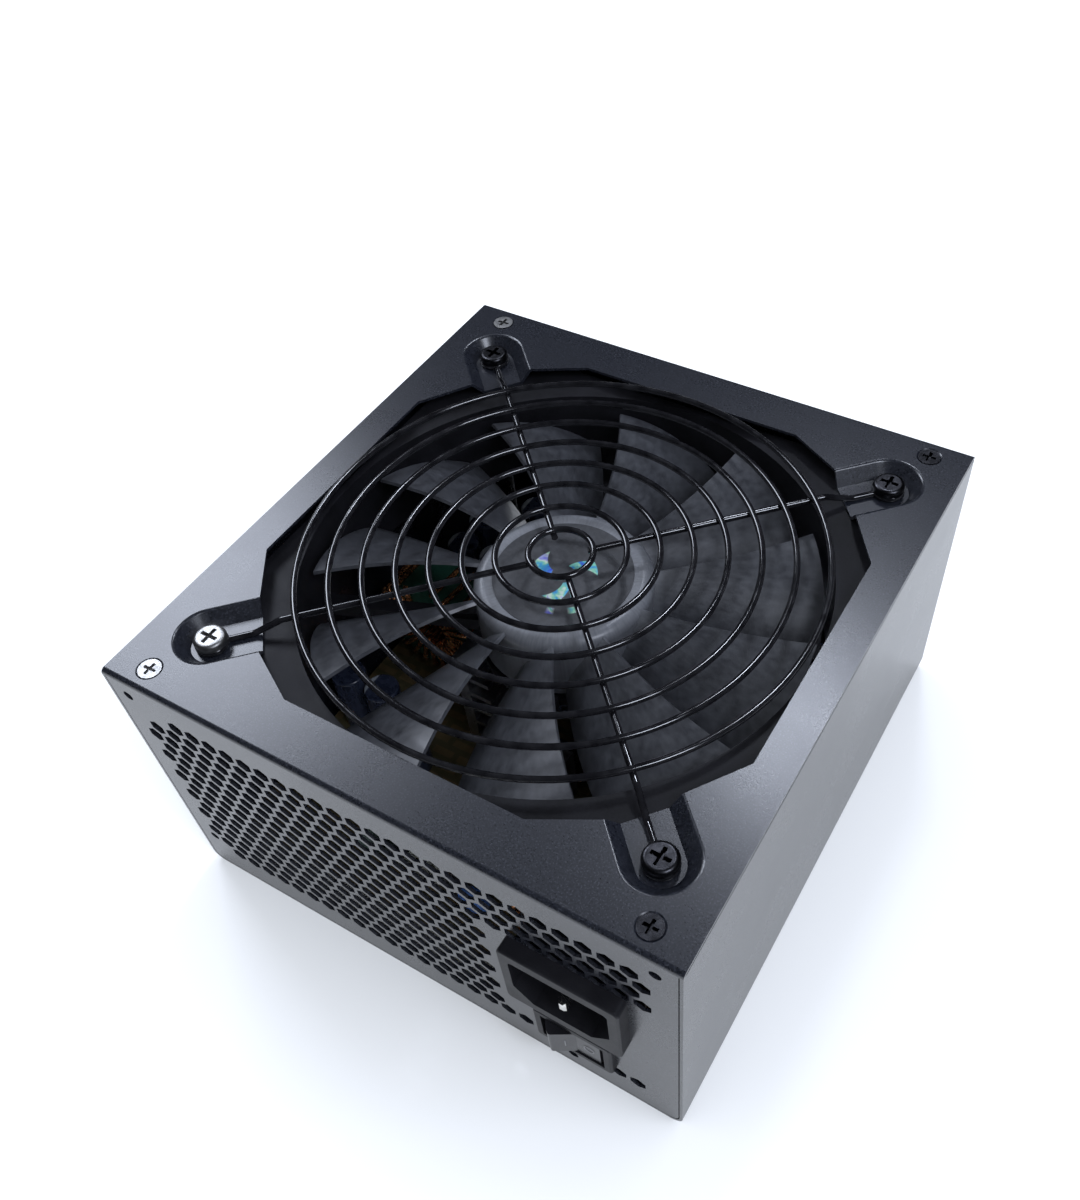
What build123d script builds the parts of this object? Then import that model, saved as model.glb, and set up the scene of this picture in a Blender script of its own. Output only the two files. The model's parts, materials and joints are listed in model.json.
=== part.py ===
from build123d import *
import os
from math import asin, cos, degrees, radians, sin, tan

# Computer power supply unit: a sheet steel case, a cooling fan in its top, a mains inlet and a
# rocker switch on its rear panel, and the circuit inside.
# The origin is the centre of the bottom face. +Z points up through the fan, and the rear panel
# with the inlet faces -Y. Sizes are millimetres.

# Case
WIDTH = 150.0
DEPTH = 158.0
HEIGHT = 86.0
SHEET = 0.8
BASE_BEND = 3.5
COVER_BEND = 1.3
SEAM = 0.5
PANEL_GAP = 0.25
TAB_WIDTH = 14.0
TAB_LENGTH = 8.0
TAB_INSET = 1.8
TAB_GAP = 0.05
TAB_BEND = 1.2
TAB_DROP = 4.0
SCREW_BOSS_R = 2.6
SCREW_BOSS_HEIGHT = 1.8
THREAD_CLEARANCE = 0.03
HEAD_CLEARANCE = 0.05
COVER_SCREW_X = 65.0
COVER_SCREW_Y = 73.2
COVER_SCREW_HEAD_R = 2.8
COVER_SCREW_RIM_GAP = 0.4
COVER_SCREW_SHANK_R = 1.5
COVER_SCREW_LENGTH = 6.0

# Rear panel: six-sided vent holes in a honeycomb grid, and the four standard mounting holes
VENT_ACROSS_FLATS = 4.1
VENT_PITCH = 5.2
VENT_ROW_PITCH = VENT_PITCH * sin(radians(60))
VENT_LEFT = -66.8
VENT_TOP = 75.0
VENT_COLUMNS = 26
VENT_ROWS = 15
VENT_FULL_ROWS = 4
VENT_COLUMNS_BESIDE_INLET = 18
MOUNT_HOLE_R = 1.4
MOUNT_COLLAR_R = 2.4
MOUNT_COLLAR_DEPTH = 1.8
MOUNT_HOLES = [(-69.0, 80.0), (69.0, 80.0), (-69.0, 16.0), (45.0, 6.0)]

# Mains inlet
INLET_X = 47.2
INLET_Z = 47.5
INLET_FLANGE = (30.0, 24.0)
INLET_BODY = (27.0, 19.2)
INLET_CAVITY = (24.5, 17.0)
INLET_CHAMFER = 4.8
INLET_PROUD = 3.9
INLET_DEPTH = 15.4
INLET_CAVITY_DEPTH = 14.4
PIN_WIDTH = 2.0
PIN_HEIGHT = 4.0
PIN_SPREAD = 7.0
PIN_RISE = 2.0
PIN_TAIL = 6.5
PIN_CLEARANCE = 0.01
PIN_POINT = 0.5
POWER_PIN_RECESS = 2.6
EARTH_PIN_RECESS = 0.5
CUTOUT_CLEARANCE = 0.1

# Rocker switch
SWITCH_X = 47.2
SWITCH_Z = 21.5
BEZEL = (21.0, 15.0)
BEZEL_PROUD = 2.0
SWITCH_BODY = (19.6, 13.0)
SWITCH_MOUTH = (16.8, 11.0)
SWITCH_DEPTH = 15.0
ROCKER_WIDTH = 10.4
ROCKER_RADIUS = 8.1
ROCKER_TILT = 15.0
ROCKER_PRESSED_RISE = 3.6
PIVOT_DEPTH = 4.0
PIVOT_RADIUS = 1.2
PIVOT_CLEARANCE = 0.05
PIVOT_OVERHANG = 0.8
SWITCH_FLOOR = 3.0
TERMINAL_OFFSETS = (-6.0, 1.0)
TERMINAL = (0.8, 4.8)
TERMINAL_LENGTH = 11.0
TERMINAL_GRIP = 4.0
SKIRT_ANGLE = 20.0
SKIRT_FOOT = (2.6, 4.4)

# Cable outlet on the front panel
OUTLET_X = -42.0
OUTLET_Z = 40.0
OUTLET_R = 15.0
GROMMET_BORE_R = 12.0
GROMMET_FLANGE_R = 17.5
GROMMET_PROUD = 2.0
GROMMET_BARB = 1.2
GROMMET_TAPER = 0.4
GROMMET_GRIP = 1.8

# Fan opening, screw recesses and wire guard
FAN_Y = 0.3
OPENING_CORNERS = [(66.1, 31.7), (55.9, 46.2), (45.9, 57.8), (31.6, 65.5)]
OPENING_CORNER_R = 1.0
FAN_SCREW_SPACING = 119.2
RECESS_DEPTH = 3.5
RECESS_HALF_WIDTH = 8.25
RECESS_SLOPE = 40.6
RECESS_WALL_SHIFT = 1.05
RECESS_REACH = 22.0
RECESS_RIM_R = 1.0
WIRE_R = 0.8
RING_RADII = [7.9 + 8.02 * ring for ring in range(8)]
RING_Z = HEIGHT + 1.2
SPOKE_Z = HEIGHT - 0.15
EYELET_R = 3.3
SPOKE_START = 6.6
SPOKE_BEND_START = 67.5
SPOKE_BEND_END = 74.5
SPOKE_BEND_R = 3.0
FAN_SCREW_HEAD_R = 4.0
FAN_SCREW_HEAD_HEIGHT = 1.9
FAN_SCREW_SHANK_R = 2.1
FAN_SCREW_LENGTH = 12.0
FAN_SCREW_CLEARANCE = 0.1

# Fan
FAN_SIZE = 135.0
FAN_HEIGHT = 25.0
FAN_BORE_R = 65.5
FAN_CORNER = 6.0
FAN_TOP = HEIGHT - RECESS_DEPTH - SHEET
FAN_BOTTOM = FAN_TOP - FAN_HEIGHT
FLANGE_THICKNESS = 4.0
MOTOR_BASE_R = 23.0
MOTOR_BASE_THICKNESS = 2.0
STRUT_WIDTH = 4.0
STRUT_HEIGHT = 4.0
STRUT_START = 20.0
STRUT_COUNT = 4
SCREW_POST_R = 4.2
BEARING_TUBE_R = 5.0
BEARING_TUBE_TOP = 74.0
BEARING_R = 4.0
SHAFT_R = 1.5
SHAFT_CLEARANCE = 0.05
BEARING_LIFT = 0.8
BEARING_SETBACK = 0.4
SHAFT_LIFT = 0.5
SHAFT_SEAT_R = 3.0
SHAFT_SEAT_DEPTH = 2.0
SHAFT_REACH = 1.4
STATOR_R = 15.5
STATOR_BASE = 63.5
STATOR_HEIGHT = 6.5
STATOR_RIM = 1.8
STATOR_HUB_R = 8.0
POLE_COUNT = 4
POLE_WIDTH = 4.0
POLE_GAP = (8.0, 3.0)
COIL_SECTION = (4.6, 8.0)
COIL_CENTRE_R = 10.8
COIL_OVERHANG = 1.2
COIL_CORNER = 1.0
FAN_BOARD_R = 18.5
FAN_BOARD_THICKNESS = 1.0
FAN_BOARD_LIFT = 0.4
CUP_WALL = 0.8
CUP_LIFT = 0.5
MAGNET_LIFT = 1.0
MAGNET_HEIGHT = 11.5
AIR_GAP = 0.7
HUB_R = 22.5
HUB_WALL = 3.2
HUB_TOP = 79.5
HUB_BOTTOM = 61.0
HUB_ROOF = 2.4
HUB_EDGE = 3.0
STICKER_R = 17.5
STICKER_THICKNESS = 0.2
BLADE_COUNT = 11
BLADE_START = 9.5
BLADE_TIP_R = 63.6
BLADE_SPAN = 27.0
BLADE_SWEEP = 9.0
BLADE_EDGE = 0.9
# Blade sections from root to tip: radius, bottom, top, arch of the section, thickness
BLADE_SECTIONS = (
    (21.2, 63.2, 78.2, 1.0, 1.9),
    (36.0, 63.4, 78.4, 1.5, 1.7),
    (51.0, 64.0, 78.0, 1.9, 1.5),
    (65.0, 64.8, 77.2, 2.2, 1.3),
)

# Circuit board and the parts that stand on it
BOARD_SIZE = (140.0, 140.0)
BOARD_THICKNESS = 1.6
STANDOFF_HEIGHT = 6.5
STANDOFF_X = 64.0
STANDOFF_Y = 64.0
BOARD_BOTTOM = SHEET + STANDOFF_HEIGHT
BOARD_TOP = BOARD_BOTTOM + BOARD_THICKNESS
BOARD_SCREW_R = 1.5
BOARD_SCREW_HEAD = (2.8, 1.9)
BOARD_SCREW_LENGTH = 5.5
STANDOFF_R = 3.0
INSULATION_SIZE = (143.0, 148.0)
INSULATION_LIFT = 0.1
INSULATION_THICKNESS = 0.4

# Heatsinks and the devices screwed to them
PRIMARY_HEATSINK_X = 22.0
SECONDARY_HEATSINK_X = -26.0
HEATSINK_FRONT = 62.0
HEATSINK_LENGTH = 78.0
HEATSINK_LIFT = 1.0
HEATSINK_WALL = (3.5, 39.0)
HEATSINK_FIN = (7.0, 1.4)
FIN_COUNT = 6
FIN_START = 6.0
FIN_PITCH = 6.6
DEVICE_SCREW_Z = 23.0
DEVICE_HOLE_R = 1.8
DEVICE_SCREW_R = 1.5
DEVICE_TAB = (1.3, 10.2, 15.5)
DEVICE_TAB_Z = 18.0
DEVICE_BODY = (3.2, 10.2, 9.5)
DEVICE_BODY_Z = 15.0
DEVICE_BODY_OFFSET = 2.3
DEVICE_LEG = (0.8, 0.9, 10.3)
DEVICE_LEG_PITCH = 2.54
TRANSISTOR_PLACES = (-6.0, 10.0, 26.0)
RECTIFIER_PLACES = (-6.0, 10.0, 26.0, 42.0)
BRIDGE_Y = 46.0
BRIDGE_BODY = (4.2, 22.0, 18.0)
BRIDGE_Z = 17.0
BRIDGE_LEG = (0.8, 1.2, 8.2)
BRIDGE_LEG_OFFSETS = (-7.5, -2.5, 2.5, 7.5)
DEVICE_SCREW_HEAD = (2.7, 2.0)
DEVICE_SCREW_LENGTH = 8.0
TAB_CONTACT = 0.02

# Transformers: centre x and y, lift off the board, width, depth and height of the core
MAIN_TRANSFORMER = (-2.0, 22.0, 1.0, 30.0, 34.0, 37.0)
STANDBY_TRANSFORMER = (-1.0, -24.0, 1.0, 19.0, 16.0, 19.0)
WINDING_OVERHANG = 9.0

# Ring chokes: centre, inner and outer radius and height of the core, wire, turns in each span
OUTPUT_CHOKE_CENTRE = (-52.0, 8.0, 20.5)
OUTPUT_CHOKE_RING = (8.0, 16.0, 14.0)
OUTPUT_CHOKE_WIRE = (1.6, 24, [(-75, 255)])
PFC_CHOKE_CENTRE = (48.0, -12.0, 20.0)
PFC_CHOKE_RING = (9.0, 16.0, 12.0)
PFC_CHOKE_WIRE = (1.5, 28, [(-80, 260)])
FILTER_CHOKE_CENTRE = (24.0, -50.0, 8.0)
FILTER_CHOKE_RING = (6.0, 11.0, 10.0)
FILTER_CHOKE_WIRE = (1.2, 12, [(25, 155), (205, 335)])
WIRE_CLEARANCE = 0.1
WIRE_SPACING = 0.48

# Capacitors, fuse, thermistor and the upright control board
BULK_CAPACITOR = (14.5, 40.0)
BULK_CAPACITOR_PLACES = [(50.0, 22.0), (50.0, 53.0)]
BULK_CAPACITOR_DISH = (12.0, 0.4)
OUTPUT_CAPACITOR = (5.0, 22.0)
OUTPUT_CAPACITOR_PLACES = [(-62.0, 34.0), (-50.0, 34.0), (-62.0, 46.0), (-50.0, 46.0), (-38.0, 58.0),
                           (-50.0, 58.0), (-38.0, -30.0), (-50.0, -24.0), (-62.0, -24.0)]
SMALL_FILM_CAPACITOR = ((61.0, -50.0, 3.5), (11.6, 22.0, 6.8))
LARGE_FILM_CAPACITOR = ((43.5, -35.0, 8.0), (22.0, 9.0, 15.9))
CERAMIC_X = 4.0
CERAMIC_PLACES = (-50.0, -60.0)
CERAMIC_DISC = (4.6, 3.6)
CERAMIC_Z = 6.0
CERAMIC_LEG = (0.6, 0.6, 2.4)
CERAMIC_LEG_OFFSET = 2.5
FUSE_CENTRE = (-14.0, -58.0, 3.6)
FUSE_TUBE = (2.4, 12.0)
FUSE_CAP = (2.6, 5.9)
FUSE_CAP_OFFSET = 9.0
THERMISTOR_CENTRE = (-30.0, -56.0, 8.2)
THERMISTOR_DISC = (6.5, 4.5)
THERMISTOR_LEG = (0.9, 0.9, 3.0)
THERMISTOR_LEG_OFFSET = 3.0
CONTROL_BOARD_CENTRE = (-2.0, 66.0, 12.2)
CONTROL_BOARD = (42.0, 1.2, 24.0)
CONTROL_CHIPS = (((-12.0, 64.3, 15.0), (10.0, 2.1, 6.5)), ((6.0, 64.3, 15.0), (7.0, 2.1, 6.0)))

REAR = -DEPTH / 2
FRONT = DEPTH / 2
COVER_UNDERSIDE = HEIGHT - SHEET
MOTOR_SEAT = FAN_BOTTOM + MOTOR_BASE_THICKNESS
FOUR_CORNERS = [(x, y) for x in (-1, 1) for y in (-1, 1)]
FAN_SCREWS = [(x * FAN_SCREW_SPACING / 2, FAN_Y + y * FAN_SCREW_SPACING / 2) for x, y in FOUR_CORNERS]
COVER_SCREWS = [(x * COVER_SCREW_X, y * COVER_SCREW_Y) for x, y in FOUR_CORNERS]


def channel(width, fold, rise, bend):
    """Adds the section of a folded sheet to a sketch: a strip at the level of the fold, and a wall
    at each end that runs up from it, or down where rise is negative."""
    with Locations((0, fold + rise)):
        RectangleRounded(width, 2 * abs(rise), bend)
        RectangleRounded(width - 2 * SHEET, 2 * abs(rise) - 2 * SHEET, bend - SHEET, mode=Mode.SUBTRACT)
    with Locations((0, fold + 1.5 * rise)):
        Rectangle(width, abs(rise), mode=Mode.SUBTRACT)


def cross_recess(top, length, width, depth):
    """Cuts the cross slot of a Phillips screw into the part being built."""
    for angle in (0, 90):
        with BuildSketch(Plane.XY.offset(top)) as slot:
            Rectangle(length, width, rotation=angle)
        extrude(slot.sketch, amount=-depth, taper=12, mode=Mode.SUBTRACT)


def vent_centres():
    """Centres of the vent holes as (x, z): full rows at the top, shorter rows beside the inlet."""
    full = set(range(VENT_COLUMNS))
    beside_inlet = set(range(VENT_COLUMNS_BESIDE_INLET))
    columns_of_row = {row: beside_inlet for row in range(VENT_ROWS)}
    columns_of_row.update({row: full for row in range(VENT_FULL_ROWS)})
    columns_of_row[0] = full - {0, 1}
    columns_of_row[VENT_ROWS - 1] = set(range(1, 20)) | {24, 25}
    centres = []
    for row, columns in columns_of_row.items():
        stagger = VENT_PITCH / 2 if row % 2 else 0
        for column in sorted(columns):
            centres.append((VENT_LEFT + stagger + column * VENT_PITCH, VENT_TOP - row * VENT_ROW_PITCH))
    return centres


def opening_outline():
    """Corner points of the fan opening: a rectangle whose corners are cut by three short sides."""
    upper = OPENING_CORNERS + [(-x, y) for x, y in reversed(OPENING_CORNERS)]
    return upper + [(x, -y) for x, y in reversed(upper)]


# ---------------------------------------------------------------- case

with BuildPart() as base_shell:
    with BuildSketch(Plane.XZ):
        channel(WIDTH, 0, COVER_UNDERSIDE - SEAM, BASE_BEND)
    extrude(amount=DEPTH / 2, both=True)
    tab_top = COVER_UNDERSIDE - TAB_GAP
    for tab_start in (FRONT - TAB_INSET, REAR + TAB_INSET + TAB_LENGTH):
        with BuildSketch(Plane.XZ.offset(-tab_start)):
            channel(WIDTH, tab_top, -TAB_DROP, TAB_BEND)
            with Locations((0, tab_top)):
                Rectangle(WIDTH - 2 * TAB_WIDTH, 2 * TAB_DROP, mode=Mode.SUBTRACT)
        extrude(amount=TAB_LENGTH)
    with Locations(*[(x, y, tab_top - SHEET - SCREW_BOSS_HEIGHT / 2) for x, y in COVER_SCREWS]):
        Cylinder(radius=SCREW_BOSS_R, height=SCREW_BOSS_HEIGHT)
    with Locations(*[(x, y, tab_top) for x, y in COVER_SCREWS]):
        Cylinder(radius=COVER_SCREW_SHANK_R + THREAD_CLEARANCE, height=2 * COVER_SCREW_LENGTH,
                 mode=Mode.SUBTRACT)

with BuildPart() as fan_cover:
    with BuildSketch(Plane.YZ):
        channel(DEPTH, HEIGHT, -(HEIGHT - SHEET - PANEL_GAP), COVER_BEND)
    extrude(amount=WIDTH / 2, both=True)
    margin = SHEET + PANEL_GAP
    for side, end in FOUR_CORNERS:
        with Locations((side * (WIDTH - margin) / 2, end * DEPTH / 2, (COVER_UNDERSIDE - SEAM) / 2)):
            Box(margin, TAB_LENGTH, COVER_UNDERSIDE - SEAM, mode=Mode.SUBTRACT)
    lower_corners = fan_cover.edges().filter_by(Axis.Y).filter_by_position(Axis.Z, 0, SHEET + 2 * PANEL_GAP)
    fillet(lower_corners, BASE_BEND - SHEET)
    # Pressed recesses that hold the fan screws
    arm_places = []
    for x, y in FOUR_CORNERS:
        inset = (FAN_SCREW_SPACING - RECESS_REACH * cos(radians(45))) / 2
        arm_places.append(Location((x * inset, FAN_Y + y * inset), 45 * x * y))
    with BuildSketch(Plane.XY.offset(COVER_UNDERSIDE)):
        with Locations(*arm_places):
            SlotCenterToCenter(RECESS_REACH, 2 * (RECESS_HALF_WIDTH - SHEET * tan(radians(RECESS_SLOPE))
                                                  + RECESS_WALL_SHIFT))
    extrude(amount=-RECESS_DEPTH, taper=RECESS_SLOPE)
    with BuildSketch(Plane.XY.offset(HEIGHT)):
        with Locations(*arm_places):
            SlotCenterToCenter(RECESS_REACH, 2 * RECESS_HALF_WIDTH)
    extrude(amount=-RECESS_DEPTH, taper=RECESS_SLOPE, mode=Mode.SUBTRACT)
    recess_rims = fan_cover.edges(Select.LAST).group_by(Axis.Z)[-1]
    fillet(recess_rims, RECESS_RIM_R)
    with BuildSketch(Plane.XY.offset(HEIGHT)) as opening:
        with Locations((0, FAN_Y)):
            Polygon(*opening_outline(), align=None)
        fillet(opening.vertices(), OPENING_CORNER_R)
    extrude(amount=-RECESS_DEPTH - 2 * SHEET, mode=Mode.SUBTRACT)
    with Locations(*[(x, y, FAN_TOP) for x, y in FAN_SCREWS]):
        Cylinder(radius=FAN_SCREW_SHANK_R + 0.5, height=4 * SHEET, mode=Mode.SUBTRACT)
    with Locations(*[(x, y, HEIGHT - SHEET / 2) for x, y in COVER_SCREWS]):
        Cone(bottom_radius=COVER_SCREW_HEAD_R - SHEET + HEAD_CLEARANCE,
             top_radius=COVER_SCREW_HEAD_R + COVER_SCREW_RIM_GAP, height=SHEET, mode=Mode.SUBTRACT)
    # Rear panel
    with BuildSketch(Plane.XZ.offset(DEPTH / 2)):
        with Locations(*vent_centres()):
            RegularPolygon(radius=VENT_ACROSS_FLATS / 2, side_count=6, major_radius=False, rotation=30)
        with Locations((INLET_X, INLET_Z)):
            Rectangle(INLET_BODY[0] + 2 * CUTOUT_CLEARANCE, INLET_BODY[1] + 2 * CUTOUT_CLEARANCE)
        with Locations((SWITCH_X, SWITCH_Z)):
            Rectangle(SWITCH_BODY[0] + 2 * CUTOUT_CLEARANCE, SWITCH_BODY[1] + 2 * CUTOUT_CLEARANCE)
    extrude(amount=-2 * SHEET, mode=Mode.SUBTRACT)
    with BuildSketch(Plane.XZ.offset(DEPTH / 2 - SHEET)):
        with Locations(*MOUNT_HOLES):
            Circle(MOUNT_COLLAR_R)
    extrude(amount=-MOUNT_COLLAR_DEPTH)
    with BuildSketch(Plane.XZ.offset(DEPTH / 2)):
        with Locations(*MOUNT_HOLES):
            Circle(MOUNT_HOLE_R)
    extrude(amount=-SHEET - MOUNT_COLLAR_DEPTH, mode=Mode.SUBTRACT)
    # Front panel
    with BuildSketch(Plane.XZ.offset(-DEPTH / 2)):
        with Locations((OUTLET_X, OUTLET_Z)):
            Circle(OUTLET_R)
    extrude(amount=2 * SHEET, mode=Mode.SUBTRACT)

with BuildPart() as cable_grommet:
    # Section through the ring: radius to the right, out of the panel upwards
    with BuildSketch(Plane.XY.offset(OUTLET_Z)) as ring_section:
        with Locations((OUTLET_X, FRONT)):
            Polygon((GROMMET_BORE_R, GROMMET_PROUD), (GROMMET_FLANGE_R, GROMMET_PROUD),
                    (GROMMET_FLANGE_R, 0), (OUTLET_R, 0), (OUTLET_R, -SHEET),
                    (OUTLET_R + GROMMET_BARB, -SHEET), (OUTLET_R + GROMMET_TAPER, -SHEET - GROMMET_GRIP),
                    (GROMMET_BORE_R, -SHEET - GROMMET_GRIP), align=None)
        fillet(ring_section.vertices().group_by(Axis.Y)[-1], 0.9)
    revolve(axis=Axis((OUTLET_X, FRONT, OUTLET_Z), (0, 1, 0)))

# ---------------------------------------------------------------- fasteners

with BuildPart() as cover_screw:
    with Locations((0, 0, HEIGHT - SHEET / 2)):
        Cone(bottom_radius=COVER_SCREW_HEAD_R - SHEET, top_radius=COVER_SCREW_HEAD_R, height=SHEET)
    with Locations((0, 0, COVER_UNDERSIDE - (COVER_SCREW_LENGTH - SHEET) / 2)):
        Cylinder(radius=COVER_SCREW_SHANK_R, height=COVER_SCREW_LENGTH - SHEET)
    cross_recess(HEIGHT, 3.4, 0.8, 0.9)

with BuildPart() as fan_screw:
    head_base = HEIGHT - RECESS_DEPTH + 2 * WIRE_R
    with Locations((0, 0, head_base + FAN_SCREW_HEAD_HEIGHT / 2)):
        Cylinder(radius=FAN_SCREW_HEAD_R, height=FAN_SCREW_HEAD_HEIGHT)
    fillet(fan_screw.edges().group_by(Axis.Z)[-1], 1.1)
    with Locations((0, 0, head_base - FAN_SCREW_LENGTH / 2)):
        Cylinder(radius=FAN_SCREW_SHANK_R, height=FAN_SCREW_LENGTH)
    chamfer(fan_screw.edges().group_by(Axis.Z)[0], 0.8)
    cross_recess(head_base + FAN_SCREW_HEAD_HEIGHT, 4.6, 1.0, 1.3)

# Bare steel screws stand at the rear left and, on the cover, at the front left; the rest are black
with BuildPart() as cover_screws_silver:
    with Locations(*[(x, y) for x, y in COVER_SCREWS if x < 0]):
        add(cover_screw.part)

with BuildPart() as cover_screws_black:
    with Locations(*[(x, y) for x, y in COVER_SCREWS if x > 0]):
        add(cover_screw.part)

with BuildPart() as fan_screw_silver:
    with Locations(*[(x, y) for x, y in FAN_SCREWS if x < 0 and y < 0]):
        add(fan_screw.part)

with BuildPart() as fan_screws_black:
    with Locations(*[(x, y) for x, y in FAN_SCREWS if x > 0 or y > 0]):
        add(fan_screw.part)

# ---------------------------------------------------------------- wire guard

with BuildPart() as fan_guard:
    for radius in RING_RADII:
        with Locations((0, FAN_Y, RING_Z)):
            Torus(radius, WIRE_R)
    screw_radius = FAN_SCREW_SPACING / 2 / cos(radians(45))
    floor_z = HEIGHT - RECESS_DEPTH + WIRE_R
    for angle in (45, 135, 225, 315):
        direction = Vector(cos(radians(angle)), sin(radians(angle)), 0)
        upright = Plane(origin=(0, FAN_Y, 0), x_dir=direction, z_dir=direction.cross(Vector(0, 0, 1)))
        with BuildLine(upright) as spoke_path:
            FilletPolyline((SPOKE_START, SPOKE_Z), (SPOKE_BEND_START, SPOKE_Z), (SPOKE_BEND_END, floor_z),
                           (screw_radius - EYELET_R, floor_z), radius=SPOKE_BEND_R)
        with BuildSketch(Plane(origin=spoke_path.line @ 0, z_dir=direction)):
            Circle(WIRE_R)
        sweep(path=spoke_path.line)
        with Locations((screw_radius * direction.X, FAN_Y + screw_radius * direction.Y, floor_z)):
            Torus(EYELET_R, WIRE_R)

# ---------------------------------------------------------------- fan

with BuildPart() as fan_frame:
    with BuildSketch(Plane.XY.offset(FAN_BOTTOM)):
        with Locations((0, FAN_Y)):
            Circle(FAN_SIZE / 2)
    extrude(amount=FAN_HEIGHT)
    for flange_base in (FAN_BOTTOM, FAN_TOP - FLANGE_THICKNESS):
        with BuildSketch(Plane.XY.offset(flange_base)):
            with Locations((0, FAN_Y)):
                RectangleRounded(FAN_SIZE, FAN_SIZE, FAN_CORNER)
        extrude(amount=FLANGE_THICKNESS)
    with BuildSketch(Plane.XY.offset(FAN_BOTTOM)):
        with Locations(*FAN_SCREWS):
            Circle(SCREW_POST_R)
    extrude(amount=FAN_HEIGHT)
    with BuildSketch(Plane.XY.offset(FAN_BOTTOM)):
        with Locations((0, FAN_Y)):
            Circle(FAN_BORE_R)
        with Locations(*FAN_SCREWS):
            Circle(FAN_SCREW_SHANK_R + FAN_SCREW_CLEARANCE)
    extrude(amount=FAN_HEIGHT, mode=Mode.SUBTRACT)

# The struts and the motor seat stand in the frame's bore and end on its wall
with BuildPart() as fan_motor_mount:
    with BuildSketch(Plane.XY.offset(FAN_BOTTOM)):
        with Locations((0, FAN_Y)):
            with PolarLocations(FAN_BORE_R / 2, STRUT_COUNT, start_angle=STRUT_START):
                Rectangle(FAN_BORE_R + STRUT_WIDTH, STRUT_WIDTH)
            Circle(FAN_BORE_R, mode=Mode.INTERSECT)
            Circle(MOTOR_BASE_R, mode=Mode.SUBTRACT)
    extrude(amount=STRUT_HEIGHT)
    with BuildSketch(Plane.XY.offset(FAN_BOTTOM)):
        with Locations((0, FAN_Y)):
            Circle(MOTOR_BASE_R)
    extrude(amount=MOTOR_BASE_THICKNESS)
    with BuildSketch(Plane.XY.offset(FAN_BOTTOM)):
        with Locations((0, FAN_Y)):
            Circle(BEARING_TUBE_R)
    extrude(amount=BEARING_TUBE_TOP - FAN_BOTTOM)
    with BuildSketch(Plane.XY.offset(BEARING_TUBE_TOP)):
        with Locations((0, FAN_Y)):
            Circle(BEARING_R + THREAD_CLEARANCE)
    extrude(amount=-(BEARING_TUBE_TOP - MOTOR_SEAT), mode=Mode.SUBTRACT)

with BuildPart() as fan_bearing:
    with BuildSketch(Plane.XY.offset(MOTOR_SEAT + BEARING_LIFT)):
        with Locations((0, FAN_Y)):
            Circle(BEARING_R)
            Circle(SHAFT_R + SHAFT_CLEARANCE, mode=Mode.SUBTRACT)
    extrude(amount=BEARING_TUBE_TOP - BEARING_SETBACK - MOTOR_SEAT - BEARING_LIFT)

with BuildPart() as fan_circuit_board:
    with BuildSketch(Plane.XY.offset(MOTOR_SEAT + FAN_BOARD_LIFT)):
        with Locations((0, FAN_Y)):
            Circle(FAN_BOARD_R)
            Circle(BEARING_TUBE_R + WIRE_CLEARANCE, mode=Mode.SUBTRACT)
    extrude(amount=FAN_BOARD_THICKNESS)

with BuildPart() as fan_stator_core:
    with BuildSketch(Plane.XY.offset(STATOR_BASE)):
        with Locations((0, FAN_Y)):
            Circle(STATOR_R)
            Circle(STATOR_R - STATOR_RIM, mode=Mode.SUBTRACT)
            with PolarLocations(STATOR_R / 2, POLE_COUNT):
                Rectangle(STATOR_R - STATOR_RIM, POLE_WIDTH)
            Circle(STATOR_HUB_R)
            with PolarLocations(STATOR_R, POLE_COUNT, start_angle=45):
                Rectangle(*POLE_GAP, mode=Mode.SUBTRACT)
            Circle(BEARING_TUBE_R + SHAFT_CLEARANCE, mode=Mode.SUBTRACT)
    extrude(amount=STATOR_HEIGHT)

with BuildPart() as fan_stator_coils:
    with BuildSketch(Plane.XY.offset(STATOR_BASE - COIL_OVERHANG)):
        with Locations((0, FAN_Y)):
            with PolarLocations(COIL_CENTRE_R, POLE_COUNT):
                Rectangle(*COIL_SECTION)
    extrude(amount=STATOR_HEIGHT + 2 * COIL_OVERHANG)
    fillet(fan_stator_coils.edges().filter_by(Axis.Z), COIL_CORNER)
    with BuildSketch(Plane.XY.offset(STATOR_BASE - WIRE_CLEARANCE / 2)):
        with Locations((0, FAN_Y)):
            with PolarLocations(COIL_CENTRE_R, POLE_COUNT):
                Rectangle(2 * COIL_SECTION[0], POLE_WIDTH + WIRE_CLEARANCE)
    extrude(amount=STATOR_HEIGHT + WIRE_CLEARANCE, mode=Mode.SUBTRACT)

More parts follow.
